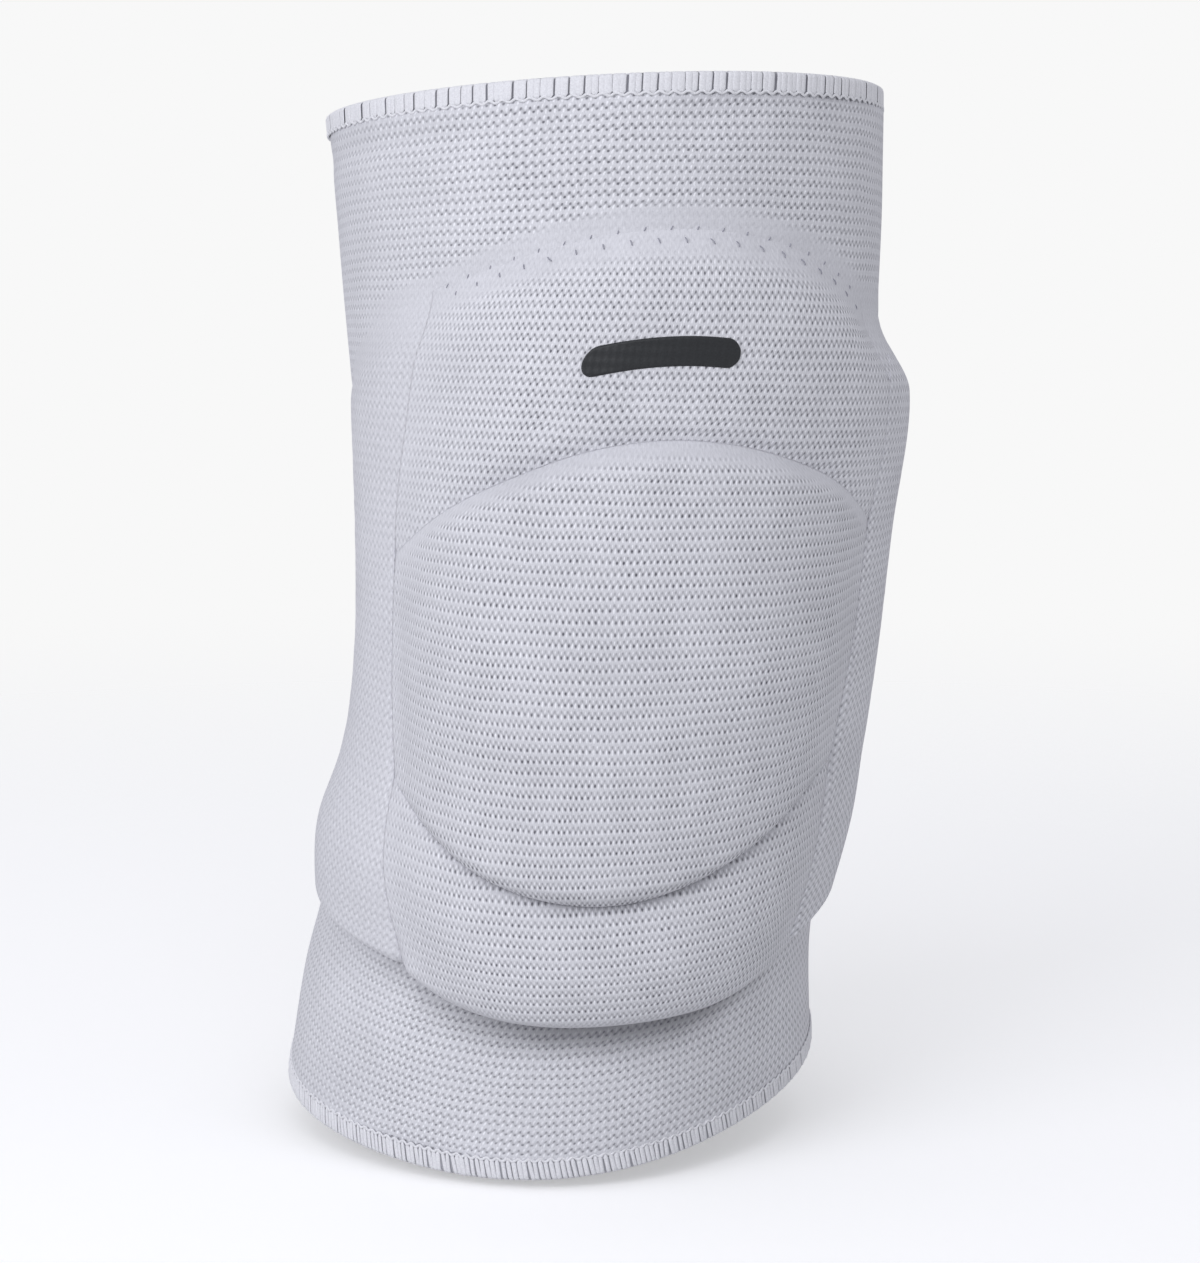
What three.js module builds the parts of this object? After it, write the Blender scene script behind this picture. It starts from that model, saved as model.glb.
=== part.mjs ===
// A knitted volleyball knee pad in the shape that it has on a slightly bent leg.
// Millimetres, +Z up along the leg, the front of the knee towards -Y, the origin in the middle of the hollow.
import * as THREE from "three";

// The knit tube
const SLEEVE_HEIGHT = 222.5; // between the middles of the two rims
const KNEE_HEIGHT = 92.2; // of the origin over the middle of the calf rim
const KNEE_WIDTH = 112;
const KNEE_DEPTH = 111;
const THIGH_RIM_WIDTH = 126.8;
const THIGH_RIM_DEPTH = 126.6;
const CALF_RIM_WIDTH = 124;
const CALF_RIM_DEPTH = 128;
const SHIN_FLATTENING = 2.6; // how far the calf rim lies inside its oval on both sides of the shin
const SHIN_TURN = 4; // degrees round the leg from the front to the shin's ridge
const SLEEVE_WALL = 2.2;

// The pads, each thickness counted from the tube's outer face
const UPPER_PAD_THICKNESS = 9.5;
const KNEE_PAD_THICKNESS = 19;
const LOWER_PAD_THICKNESS = 14;
const SIDE_PAD_THICKNESS = 9.5;
const SIDE_PAD_TAPER_EDGE = 1.2; // what is left of a side pad at its back edge
const SIDE_PAD_LEVEL = 0.25; // the share of a side pad's width over which it keeps its thickness
const PAD_EDGE_ROUNDING = 3;
const SEAM_ROUNDING = 0.5; // depth of the rounding at a seam, as a share of that at a crease
const SEAM_BLEND = 3; // the power of the place across by which a front pad turns to the side pads' height
const LEAST_PAD_THICKNESS = 1;

// The overlocked rims and the print
const OVERLOCK_HEIGHT = 4.2;
const OVERLOCK_THREAD = 0.6;
const PRINT_WIDTH = 35;
const PRINT_HEIGHT = 6.5;
const PRINT_THICKNESS = 0.4;
const PRINT_BLUNT_END = 0.2; // half height at the print's very ends, as a share of its end radius
const PRINT_ACROSS = -0.05; // its middle, between the seams at -1 and 1
const PRINT_ALONG = 0.42; // its middle, between the upper pad's lower edge at 0 and its upper edge at 1

// Clearances between neighbours
const LAYER_GAP = 0.5; // between a piece and what it lies on
const SEAM_GAP = 0.4; // between two pads that meet at a crease or a seam

// How finely the surfaces are divided
const TUBE_COLUMNS = 48;
const TUBE_ROWS = 22;
const PAD_COLUMNS = 20;
const PAD_ROWS = 12;
const SIDE_PAD_COLUMNS = 11;
const SIDE_PAD_ROWS = 22;
const PRINT_COLUMNS = 14;
const PRINT_ROWS = 4;

// Sections of the tube, from the calf rim to the thigh rim.
// up: share of the sleeve's height. flare: share of the way from the knee's size to that end's rim.
// aside and back: the section's middle, as shares of the knee's width and depth.
// tilt: degrees by which its front edge is raised. roll: degrees by which its right edge is raised.
const SECTIONS = [
  { up: 0.0, flare: 1.0, aside: -0.106, back: 0.109, tilt: -12, roll: 3.3 },
  { up: 0.11, flare: 0.57, aside: -0.091, back: 0.062, tilt: -10.5, roll: 2.5 },
  { up: 0.18, flare: 0.32, aside: -0.067, back: 0.04, tilt: -8.4, roll: 2 },
  { up: 0.29, flare: 0.12, aside: -0.028, back: 0.014, tilt: -5, roll: 1.3 },
  { up: 0.39, flare: 0.0, aside: 0.006, back: 0.002, tilt: -1.7, roll: 0.6 },
  { up: 0.54, flare: 0.15, aside: 0.027, back: 0.003, tilt: 1.7, roll: -0.5 },
  { up: 0.7, flare: 0.46, aside: 0.028, back: 0.018, tilt: 3.5, roll: -2 },
  { up: 0.86, flare: 0.77, aside: 0.021, back: 0.045, tilt: 6.5, roll: 1 },
  { up: 1.0, flare: 1.0, aside: 0.009, back: 0.083, tilt: 7.3, roll: 2.9 },
];
const NARROWEST = 0.39; // the share of the height at which the tube has the knee's size

// The two seams beside the front pads and the back edges of the side pads, in degrees round the leg
// from the front, and the thickness of the side pads as a share of SIDE_PAD_THICKNESS.
const SIDES = [
  { up: 0.14, left: -34, right: 53, leftEnd: -84, rightEnd: 84, leftPad: 0.5, rightPad: 0.5 },
  { up: 0.2, left: -37, right: 54, leftEnd: -102, rightEnd: 98, leftPad: 0.62, rightPad: 0.6 },
  { up: 0.28, left: -43, right: 55, leftEnd: -119, rightEnd: 114, leftPad: 0.84, rightPad: 0.72 },
  { up: 0.35, left: -47, right: 56, leftEnd: -110, rightEnd: 120, leftPad: 0.62, rightPad: 0.68 },
  { up: 0.45, left: -51, right: 58, leftEnd: -101, rightEnd: 122, leftPad: 0.53, rightPad: 0.7 },
  { up: 0.58, left: -50, right: 60, leftEnd: -98, rightEnd: 125, leftPad: 0.52, rightPad: 0.72 },
  { up: 0.7, left: -44, right: 63, leftEnd: -93, rightEnd: 128, leftPad: 0.48, rightPad: 0.88 },
  { up: 0.77, left: -41, right: 65, leftEnd: -84, rightEnd: 120, leftPad: 0.38, rightPad: 0.68 },
  { up: 0.86, left: -38, right: 66, leftEnd: -70, rightEnd: 104, leftPad: 0.25, rightPad: 0.3 },
];

// The creases that bound the front pads, as shares of the sleeve's height.
// across: place between the left seam at -1 and the right seam at 1.
const CREASES = [
  { across: -1.0, thigh: 0.806, kneeTop: 0.557, kneeBottom: 0.355, calf: 0.182 },
  { across: -0.75, thigh: 0.828, kneeTop: 0.6, kneeBottom: 0.318, calf: 0.164 },
  { across: -0.5, thigh: 0.846, kneeTop: 0.634, kneeBottom: 0.286, calf: 0.154 },
  { across: -0.25, thigh: 0.858, kneeTop: 0.662, kneeBottom: 0.269, calf: 0.149 },
  { across: 0.0, thigh: 0.862, kneeTop: 0.675, kneeBottom: 0.265, calf: 0.147 },
  { across: 0.25, thigh: 0.858, kneeTop: 0.673, kneeBottom: 0.275, calf: 0.146 },
  { across: 0.5, thigh: 0.847, kneeTop: 0.659, kneeBottom: 0.298, calf: 0.147 },
  { across: 0.75, thigh: 0.828, kneeTop: 0.635, kneeBottom: 0.33, calf: 0.155 },
  { across: 1.0, thigh: 0.8, kneeTop: 0.594, kneeBottom: 0.365, calf: 0.172 },
];

// The upper and lower edges of the side pads, as shares of the sleeve's height.
// outward: place between the seam at 0 and the pad's back edge at 1.
const SIDE_EDGES = [
  { outward: 0.0, leftTop: 0.806, leftBottom: 0.188, rightTop: 0.8, rightBottom: 0.174 },
  { outward: 0.25, leftTop: 0.796, leftBottom: 0.199, rightTop: 0.798, rightBottom: 0.19 },
  { outward: 0.5, leftTop: 0.778, leftBottom: 0.21, rightTop: 0.79, rightBottom: 0.2 },
  { outward: 0.75, leftTop: 0.748, leftBottom: 0.226, rightTop: 0.768, rightBottom: 0.216 },
  { outward: 0.9, leftTop: 0.71, leftBottom: 0.25, rightTop: 0.734, rightBottom: 0.242 },
  { outward: 1.0, leftTop: 0.63, leftBottom: 0.31, rightTop: 0.65, rightBottom: 0.32 },
];

// How each front pad swells from its lower edge to its upper edge, as shares of its thickness.
const SWELLS = [
  { along: 0.0, upper: 0.76, knee: 0.76, lower: 0.5 },
  { along: 0.15, upper: 0.92, knee: 0.88, lower: 0.86 },
  { along: 0.4, upper: 1.0, knee: 0.99, lower: 1.0 },
  { along: 0.65, upper: 0.94, knee: 0.98, lower: 0.97 },
  { along: 0.85, upper: 0.64, knee: 0.86, lower: 0.86 },
  { along: 1.0, upper: 0.2, knee: 0.64, lower: 0.7 },
];

const RIM_BAND = OVERLOCK_HEIGHT / SLEEVE_HEIGHT; // the overlock's height as a share of the sleeve's

const radians = THREE.MathUtils.degToRad;
const mix = THREE.MathUtils.lerp;

// Value of a table's column at a place, by a smooth cubic through the rows.
function read(rows, key, column, place) {
  const last = rows.length - 1;
  const at = THREE.MathUtils.clamp(place, rows[0][key], rows[last][key]);
  let i = 0;
  while (i < last - 1 && at > rows[i + 1][key]) i += 1;
  const slope = (k) => {
    const before = rows[Math.max(k - 1, 0)];
    const after = rows[Math.min(k + 1, last)];
    return (after[column] - before[column]) / (after[key] - before[key]);
  };
  const width = rows[i + 1][key] - rows[i][key];
  const s = (at - rows[i][key]) / width;
  const straight = mix(rows[i][column], rows[i + 1][column], 3 * s * s - 2 * s ** 3);
  const leaving = (s ** 3 - 2 * s * s + s) * width * slope(i);
  const arriving = (s ** 3 - s * s) * width * slope(i + 1);
  return straight + leaving + arriving;
}

const section = (column, up) => read(SECTIONS, "up", column, up);
const side = (column, up) => read(SIDES, "up", column, up);
const crease = (column, across) => read(CREASES, "across", column, across);
const sideEdge = (column, outward) => read(SIDE_EDGES, "outward", column, outward);
const swell = (column, along) => read(SWELLS, "along", column, along);

// How far the tube lies inside its oval beside the shin, in millimetres.
function shinHollow(turn, up) {
  const fromRidge = THREE.MathUtils.clamp(Math.abs(turn - SHIN_TURN) / 90, 0, 1);
  const fade = Math.max(1 - up / NARROWEST, 0);
  return SHIN_FLATTENING * fade * fade * Math.sin(Math.PI * fromRidge) ** 2;
}

// A point of the knee pad: turn in degrees round the leg from the front, up as a share of the height,
// out in millimetres from the tube's outer face, and rise in millimetres along the section's axis.
function place(turn, up, out, rise = 0) {
  const flare = section("flare", up);
  const [rimWidth, rimDepth] =
    up < NARROWEST ? [CALF_RIM_WIDTH, CALF_RIM_DEPTH] : [THIGH_RIM_WIDTH, THIGH_RIM_DEPTH];
  const halfWidth = mix(KNEE_WIDTH, rimWidth, flare) / 2;
  const halfDepth = mix(KNEE_DEPTH, rimDepth, flare) / 2;
  const angle = radians(turn);
  const normal = new THREE.Vector2(Math.sin(angle) / halfWidth, -Math.cos(angle) / halfDepth).normalize();
  const offset = out - shinHollow(turn > 180 ? turn - 360 : turn, up);
  const x = halfWidth * Math.sin(angle) + offset * normal.x;
  const y = -halfDepth * Math.cos(angle) + offset * normal.y;
  const tilt = radians(section("tilt", up));
  const roll = radians(section("roll", up));
  const acrossAxis = new THREE.Vector3(Math.cos(roll), 0, Math.sin(roll));
  const depthAxis = new THREE.Vector3(0, Math.cos(tilt), -Math.sin(tilt));
  const upAxis = new THREE.Vector3().crossVectors(acrossAxis, depthAxis).normalize();
  return new THREE.Vector3(
    section("aside", up) * KNEE_WIDTH,
    section("back", up) * KNEE_DEPTH,
    up * SLEEVE_HEIGHT - KNEE_HEIGHT,
  )
    .addScaledVector(acrossAxis, x)
    .addScaledVector(depthAxis, y)
    .addScaledVector(upAxis, rise);
}

// Even steps from 0 to 1, and steps that lie closer together towards both ends.
const even = (count) => Array.from({ length: count + 1 }, (_, i) => i / count);
const eased = (count) => even(count).map((step) => (1 - Math.cos(Math.PI * step)) / 2);

function geometryOf(points, triangles) {
  const geometry = new THREE.BufferGeometry().setFromPoints(points);
  geometry.setIndex(triangles);
  geometry.computeVertexNormals();
  return geometry;
}

// A closed slab: outer and inner give its two faces at (s, t), both from 0 to 1, with s along the turn.
function slab(sSteps, tSteps, outer, inner) {
  const points = [];
  const across = sSteps.length;
  for (const face of [outer, inner])
    for (const t of tSteps)
      for (const s of sSteps) points.push(face(s, t));
  const layer = across * tSteps.length;
  const triangles = [];
  const quad = (a, b, c, d) => triangles.push(a, b, c, a, c, d);
  for (let j = 0; j < tSteps.length - 1; j += 1)
    for (let i = 0; i < across - 1; i += 1) {
      const a = j * across + i;
      quad(a, a + 1, a + 1 + across, a + across);
      quad(layer + a + across, layer + a + 1 + across, layer + a + 1, layer + a);
    }
  const wall = (a, b) => quad(b, a, layer + a, layer + b);
  for (let i = 0; i < across - 1; i += 1) {
    wall(i, i + 1);
    wall(layer - across + i + 1, layer - across + i);
  }
  for (let j = 0; j < tSteps.length - 1; j += 1) {
    wall((j + 1) * across, j * across);
    wall((j + 1) * across - 1, (j + 2) * across - 1);
  }
  return geometryOf(points, triangles);
}

// A closed ring round the leg: loop lists the section's corners as functions of the turn.
function ring(loop) {
  const points = [];
  for (let i = 0; i < TUBE_COLUMNS; i += 1)
    for (const corner of loop) points.push(corner((360 * i) / TUBE_COLUMNS));
  const triangles = [];
  const corners = loop.length;
  for (let i = 0; i < TUBE_COLUMNS; i += 1)
    for (let k = 0; k < corners; k += 1) {
      const a = i * corners + k;
      const b = i * corners + ((k + 1) % corners);
      const c = ((i + 1) % TUBE_COLUMNS) * corners + k;
      const d = ((i + 1) % TUBE_COLUMNS) * corners + ((k + 1) % corners);
      triangles.push(a, c, d, a, d, b);
    }
  return geometryOf(points, triangles);
}

// The knit tube: its outer face from the calf rim up, then its inner face back down.
function sleeve() {
  const ups = [0, ...even(TUBE_ROWS - 2).map((step) => mix(RIM_BAND, 1 - RIM_BAND, step)), 1];
  const outer = ups.map((up) => (turn) => place(turn, up, 0));
  const inner = ups.map((up) => (turn) => place(turn, up, -SLEEVE_WALL)).reverse();
  return ring([...outer, ...inner]);
}

// The thread that wraps a rim: a channel over the knit wall, open towards the knee.
// rim and edge are the height shares of the rim and of the thread's edge, away points out of the tube.
function overlock(rim, edge, away) {
  const near = LAYER_GAP;
  const far = LAYER_GAP + OVERLOCK_THREAD;
  const loop = [
    (turn) => place(turn, edge, far),
    (turn) => place(turn, rim, far, near * away),
    (turn) => place(turn, rim, -SLEEVE_WALL / 2, (far + OVERLOCK_THREAD / 2) * away),
    (turn) => place(turn, rim, -SLEEVE_WALL - far, near * away),
    (turn) => place(turn, edge, -SLEEVE_WALL - far),
    (turn) => place(turn, edge, -SLEEVE_WALL - near),
    (turn) => place(turn, rim, -SLEEVE_WALL - near, near * away),
    (turn) => place(turn, rim, near, near * away),
    (turn) => place(turn, edge, near),
  ];
  return ring(away > 0 ? loop : loop.reverse());
}

// How far a pad's face drops at a distance from its edge, as a quarter circle.
function edgeDrop(distance) {
  const inside = THREE.MathUtils.clamp(1 - distance / PAD_EDGE_ROUNDING, 0, 1);
  return PAD_EDGE_ROUNDING * (1 - Math.sqrt(1 - inside * inside));
}

// Half the gap between two pads, as a share of the height and as degrees of turn.
const GAP_UP = SEAM_GAP / 2 / SLEEVE_HEIGHT;
const GAP_TURN = THREE.MathUtils.radToDeg(SEAM_GAP / KNEE_WIDTH);

// A front pad between two creases: the turn, height share and thickness at (across, along).
function frontPad(low, high, column, thickness) {
  return (across, along) => {
    const bottom = crease(low, across) + GAP_UP;
    const top = crease(high, across) - GAP_UP;
    const up = mix(bottom, top, along);
    const left = side("left", up) + GAP_TURN;
    const right = side("right", up) - GAP_TURN;
    const turn = mix(left, right, (across + 1) / 2);
    const atSeam = SIDE_PAD_THICKNESS * side(across < 0 ? "leftPad" : "rightPad", up);
    const height = mix(swell(column, along) * thickness, atSeam, Math.abs(across) ** SEAM_BLEND);
    const toEdge = Math.min(along, 1 - along) * (top - bottom) * SLEEVE_HEIGHT;
    const toSeam = ((1 - Math.abs(across)) / 2) * radians(right - left) * (KNEE_WIDTH / 2);
    const drop = Math.max(edgeDrop(toEdge), SEAM_ROUNDING * edgeDrop(toSeam));
    return { turn, up, height: Math.max(height - drop, LEAST_PAD_THICKNESS) };
  };
}

// A side pad between its seam and its back edge, the same way.
function sidePad(name, towards) {
  return (outward, along) => {
    const bottom = sideEdge(`${name}Bottom`, outward) + GAP_UP;
    const top = sideEdge(`${name}Top`, outward) - GAP_UP;
    const up = mix(bottom, top, along);
    const seam = side(name, up) + towards * GAP_TURN;
    const turn = mix(seam, side(`${name}End`, up), outward);
    const full = SIDE_PAD_THICKNESS * side(`${name}Pad`, up);
    const thinning = Math.max(outward - SIDE_PAD_LEVEL, 0) / (1 - SIDE_PAD_LEVEL);
    const taper = (1 + Math.cos(Math.PI * thinning)) / 2;
    const toEdge = Math.min(along, 1 - along) * (top - bottom) * SLEEVE_HEIGHT;
    const toSeam = outward * radians(Math.abs(side(`${name}End`, up) - seam)) * (KNEE_WIDTH / 2);
    const drop = Math.max(edgeDrop(toEdge), SEAM_ROUNDING * edgeDrop(toSeam));
    return { turn, up, height: Math.max(mix(SIDE_PAD_TAPER_EDGE, full, taper) - drop, LEAST_PAD_THICKNESS) };
  };
}

// The solid of a pad that lies on the tube: spread turns the step s into the pad's own coordinate.
function padSolid(pad, columns, rows, spread) {
  const outer = (s, t) => {
    const p = pad(spread(s), t);
    return place(p.turn, p.up, LAYER_GAP + p.height);
  };
  const inner = (s, t) => {
    const p = pad(spread(s), t);
    return place(p.turn, p.up, LAYER_GAP);
  };
  return slab(eased(columns), eased(rows), outer, inner);
}

const frontSolid = (pad) => padSolid(pad, PAD_COLUMNS, PAD_ROWS, (s) => 2 * s - 1);
const sideSolid = (pad, spread) => padSolid(pad, SIDE_PAD_COLUMNS, SIDE_PAD_ROWS, spread);

const upperPad = frontPad("kneeTop", "thigh", "upper", UPPER_PAD_THICKNESS);
const kneePad = frontPad("kneeBottom", "kneeTop", "knee", KNEE_PAD_THICKNESS);
const lowerPad = frontPad("calf", "kneeBottom", "lower", LOWER_PAD_THICKNESS);

// A plain bar with round ends, printed on the upper pad and following its face.
function print() {
  const face = (across, along) => {
    const p = upperPad(across, along);
    return place(p.turn, p.up, p.height);
  };
  const step = 0.01;
  const middle = face(PRINT_ACROSS, PRINT_ALONG);
  const perAcross = face(PRINT_ACROSS + step, PRINT_ALONG).distanceTo(middle) / step;
  const perAlong = face(PRINT_ACROSS, PRINT_ALONG + step).distanceTo(middle) / step;
  const endRadius = PRINT_HEIGHT / 2;
  const straight = PRINT_WIDTH / 2 - endRadius;
  const at = (s, t, out) => {
    const x = (s - 0.5) * PRINT_WIDTH;
    const past = Math.max(Math.abs(x) - straight, 0) / endRadius;
    const round = Math.sqrt(Math.max(1 - past * past, 0));
    const halfHeight = endRadius * Math.max(round, PRINT_BLUNT_END);
    const p = upperPad(PRINT_ACROSS + x / perAcross, PRINT_ALONG + ((2 * t - 1) * halfHeight) / perAlong);
    return place(p.turn, p.up, 2 * LAYER_GAP + p.height + out);
  };
  const outer = (s, t) => at(s, t, PRINT_THICKNESS);
  const inner = (s, t) => at(s, t, 0);
  return slab(eased(PRINT_COLUMNS), even(PRINT_ROWS), outer, inner);
}

const knit = { color: "#dfe1e8", roughness: 0.95, metalness: 0 };
const paddedKnit = { color: "#e3e5ec", roughness: 0.95, metalness: 0 };
const thread = { color: "#eceef3", roughness: 0.8, metalness: 0 };
const film = { color: "#2d2f30", roughness: 0.55, metalness: 0 };

const kneeGuard = new THREE.Group();
function add(name, geometry, finish) {
  const mesh = new THREE.Mesh(geometry, new THREE.MeshStandardMaterial(finish));
  mesh.name = name;
  kneeGuard.add(mesh);
}

add("knit_sleeve", sleeve(), knit);
add("upper_pad", frontSolid(upperPad), paddedKnit);
add("knee_pad", frontSolid(kneePad), paddedKnit);
add("lower_pad", frontSolid(lowerPad), paddedKnit);
add("left_side_pad", sideSolid(sidePad("left", -1), (s) => 1 - s), paddedKnit);
add("right_side_pad", sideSolid(sidePad("right", 1), (s) => s), paddedKnit);
add("top_overlock", overlock(1, 1 - RIM_BAND, 1), thread);
add("bottom_overlock", overlock(0, RIM_BAND, -1), thread);
add("front_print", print(), film);

export default kneeGuard;
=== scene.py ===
"""A white knitted volleyball knee pad on a pale floor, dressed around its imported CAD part.

The pad is worn on a slightly bent leg that isn't shown. The front of the knee looks towards -Y, and
lengths in the tables are millimetres or shares, as in the part. Meshes are made in metres.
"""

import logging
import math
from dataclasses import dataclass, field
from enum import Enum
from functools import partial
from typing import Any, Callable, Optional

import bpy
import numpy as np
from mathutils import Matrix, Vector


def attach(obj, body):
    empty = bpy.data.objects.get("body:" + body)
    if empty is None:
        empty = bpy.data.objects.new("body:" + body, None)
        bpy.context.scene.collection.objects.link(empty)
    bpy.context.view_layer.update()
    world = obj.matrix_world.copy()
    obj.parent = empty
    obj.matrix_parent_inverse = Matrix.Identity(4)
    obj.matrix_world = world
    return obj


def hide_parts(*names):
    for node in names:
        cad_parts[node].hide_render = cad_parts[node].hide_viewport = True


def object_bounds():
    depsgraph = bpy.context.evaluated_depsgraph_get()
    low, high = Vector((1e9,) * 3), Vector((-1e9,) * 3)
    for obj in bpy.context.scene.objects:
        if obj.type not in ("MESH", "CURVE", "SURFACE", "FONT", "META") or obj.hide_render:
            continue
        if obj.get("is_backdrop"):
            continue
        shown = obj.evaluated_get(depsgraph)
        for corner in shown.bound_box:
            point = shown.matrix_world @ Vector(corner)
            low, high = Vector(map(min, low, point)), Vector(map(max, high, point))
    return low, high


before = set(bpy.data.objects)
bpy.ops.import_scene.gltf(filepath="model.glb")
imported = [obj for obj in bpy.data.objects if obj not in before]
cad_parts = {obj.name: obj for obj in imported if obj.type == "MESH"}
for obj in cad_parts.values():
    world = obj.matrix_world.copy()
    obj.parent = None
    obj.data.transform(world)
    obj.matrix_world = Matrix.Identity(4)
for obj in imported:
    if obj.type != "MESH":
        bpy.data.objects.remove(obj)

Array = np.ndarray
Nodes = Callable[..., Any]
MM = 0.001
LOG = logging.getLogger("knee_pad")


class Side(Enum):
    """The two sides of the leg, by the way that the turn grows."""

    LEFT = -1
    RIGHT = 1


class Slot(Enum):
    """The record's material slots."""

    SLEEVE_KNIT = "sleeve_knit"
    PADDED_KNIT = "padded_knit"
    THREAD = "overlock_thread"
    FILM = "print_film"


@dataclass(frozen=True)
class Curve:
    """A smooth curve through the rows of a small table.

    Between two rows it is a cubic whose slope at a row is that of the line through its two neighbours.
    """

    at: tuple[float, ...]
    values: tuple[float, ...]

    def __call__(self, place: Any) -> Array:
        """Value of the curve.

        Args:
            place: where it is read, a number or an array; past the ends the end value holds.

        Returns:
            The values, in the shape of place.
        """
        keys, values = np.asarray(self.at, float), np.asarray(self.values, float)
        last = len(keys) - 1
        before = np.maximum(np.arange(last + 1) - 1, 0)
        after = np.minimum(np.arange(last + 1) + 1, last)
        slopes = (values[after] - values[before]) / (keys[after] - keys[before])
        x = np.clip(np.asarray(place, float), keys[0], keys[-1])
        i = np.clip(np.searchsorted(keys, x, side="right") - 1, 0, last - 1)
        width = keys[i + 1] - keys[i]
        s = (x - keys[i]) / width
        straight = values[i] + (values[i + 1] - values[i]) * (3 * s**2 - 2 * s**3)
        leaving = (s**3 - 2 * s**2 + s) * width * slopes[i]
        arriving = (s**3 - s**2) * width * slopes[i + 1]
        return straight + leaving + arriving


def signed(turn: Array) -> Array:
    """Degrees round the leg, brought from 0 to 360 to -180 to 180."""
    return np.where(turn > 180, turn - 360, turn)


SECTION_UPS = (0.0, 0.11, 0.18, 0.29, 0.39, 0.54, 0.7, 0.86, 1.0)
SIDE_UPS = (0.14, 0.2, 0.28, 0.35, 0.45, 0.58, 0.7, 0.77, 0.86)
ACROSS = (-1.0, -0.75, -0.5, -0.25, 0.0, 0.25, 0.5, 0.75, 1.0)
OUTWARD = (0.0, 0.25, 0.5, 0.75, 0.9, 1.0)


@dataclass(frozen=True)
class LegForm:
    """The tube that the knit takes round the bent leg, with the part's own sizes and sections."""

    height: float = 222.5
    knee_height: float = 92.2
    knee_width: float = 112.0
    knee_depth: float = 111.0
    thigh_width: float = 126.8
    thigh_depth: float = 126.6
    calf_width: float = 124.0
    calf_depth: float = 128.0
    narrowest: float = 0.39
    shin_flattening: float = 2.6
    shin_turn: float = 4.0
    wall: float = 2.2
    flare: Curve = Curve(SECTION_UPS, (1.0, 0.57, 0.32, 0.12, 0.0, 0.15, 0.46, 0.77, 1.0))
    aside: Curve = Curve(
        SECTION_UPS, (-0.106, -0.091, -0.067, -0.028, 0.006, 0.027, 0.028, 0.021, 0.009)
    )
    back: Curve = Curve(SECTION_UPS, (0.109, 0.062, 0.04, 0.014, 0.002, 0.003, 0.018, 0.045, 0.083))
    tilt: Curve = Curve(SECTION_UPS, (-12.0, -10.5, -8.4, -5.0, -1.7, 1.7, 3.5, 6.5, 7.3))
    roll: Curve = Curve(SECTION_UPS, (3.3, 2.5, 2.0, 1.3, 0.6, -0.5, -2.0, 1.0, 2.9))

    def shin_hollow(self, turn: Array, up: Array) -> Array:
        """Depth by which the tube lies inside its oval beside the shin: a sine squared round the leg,
        fading with the square of the height below the narrowest place.

        Args:
            turn: degrees from the front, from -180 to 180.
            up: height share.

        Returns:
            The depth in mm.
        """
        from_ridge = np.clip(np.abs(turn - self.shin_turn) / 90, 0, 1)
        fade = np.maximum(1 - up / self.narrowest, 0)
        return self.shin_flattening * fade**2 * np.sin(np.pi * from_ridge) ** 2

    def place(self, turn: Any, up: Any, out: Any, rise: Any = 0.0) -> Array:
        """Points of the knee pad.

        A point lies on an oval whose half sizes grow from the knee's to the rim's, moved along the
        oval's normal by out, and the oval is tilted, rolled and moved as its section says.

        Args:
            turn: degrees round the leg from the front, towards +X.
            up: share of the sleeve's height from the calf rim.
            out: mm from the tube's outer face.
            rise: mm along the section's own axis.

        Returns:
            The points in metres, with a last axis of three.
        """
        turn, up, out, rise = np.broadcast_arrays(
            *[np.asarray(a, float) for a in (turn, up, out, rise)]
        )
        below = up < self.narrowest
        flare = self.flare(up)
        rim_width = np.where(below, self.calf_width, self.thigh_width)
        rim_depth = np.where(below, self.calf_depth, self.thigh_depth)
        half_width = (self.knee_width + flare * (rim_width - self.knee_width)) / 2
        half_depth = (self.knee_depth + flare * (rim_depth - self.knee_depth)) / 2
        sin, cos = np.sin(np.radians(turn)), np.cos(np.radians(turn))
        nx, ny = sin / half_width, -cos / half_depth
        offset = (out - self.shin_hollow(signed(turn), up)) / np.hypot(nx, ny)
        x, y = half_width * sin + offset * nx, -half_depth * cos + offset * ny
        tilt, roll = np.radians(self.tilt(up)), np.radians(self.roll(up))
        zero = np.zeros_like(x)
        across_axis = np.stack([np.cos(roll), zero, np.sin(roll)], -1)
        depth_axis = np.stack([zero, np.cos(tilt), -np.sin(tilt)], -1)
        up_axis = np.cross(across_axis, depth_axis)
        up_axis /= np.linalg.norm(up_axis, axis=-1, keepdims=True)
        aside, back = self.aside(up) * self.knee_width, self.back(up) * self.knee_depth
        middle = np.stack([aside, back, up * self.height - self.knee_height], -1)
        moved = x[..., None] * across_axis + y[..., None] * depth_axis
        return (middle + moved + rise[..., None] * up_axis) * MM


LEG = LegForm()


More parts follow.
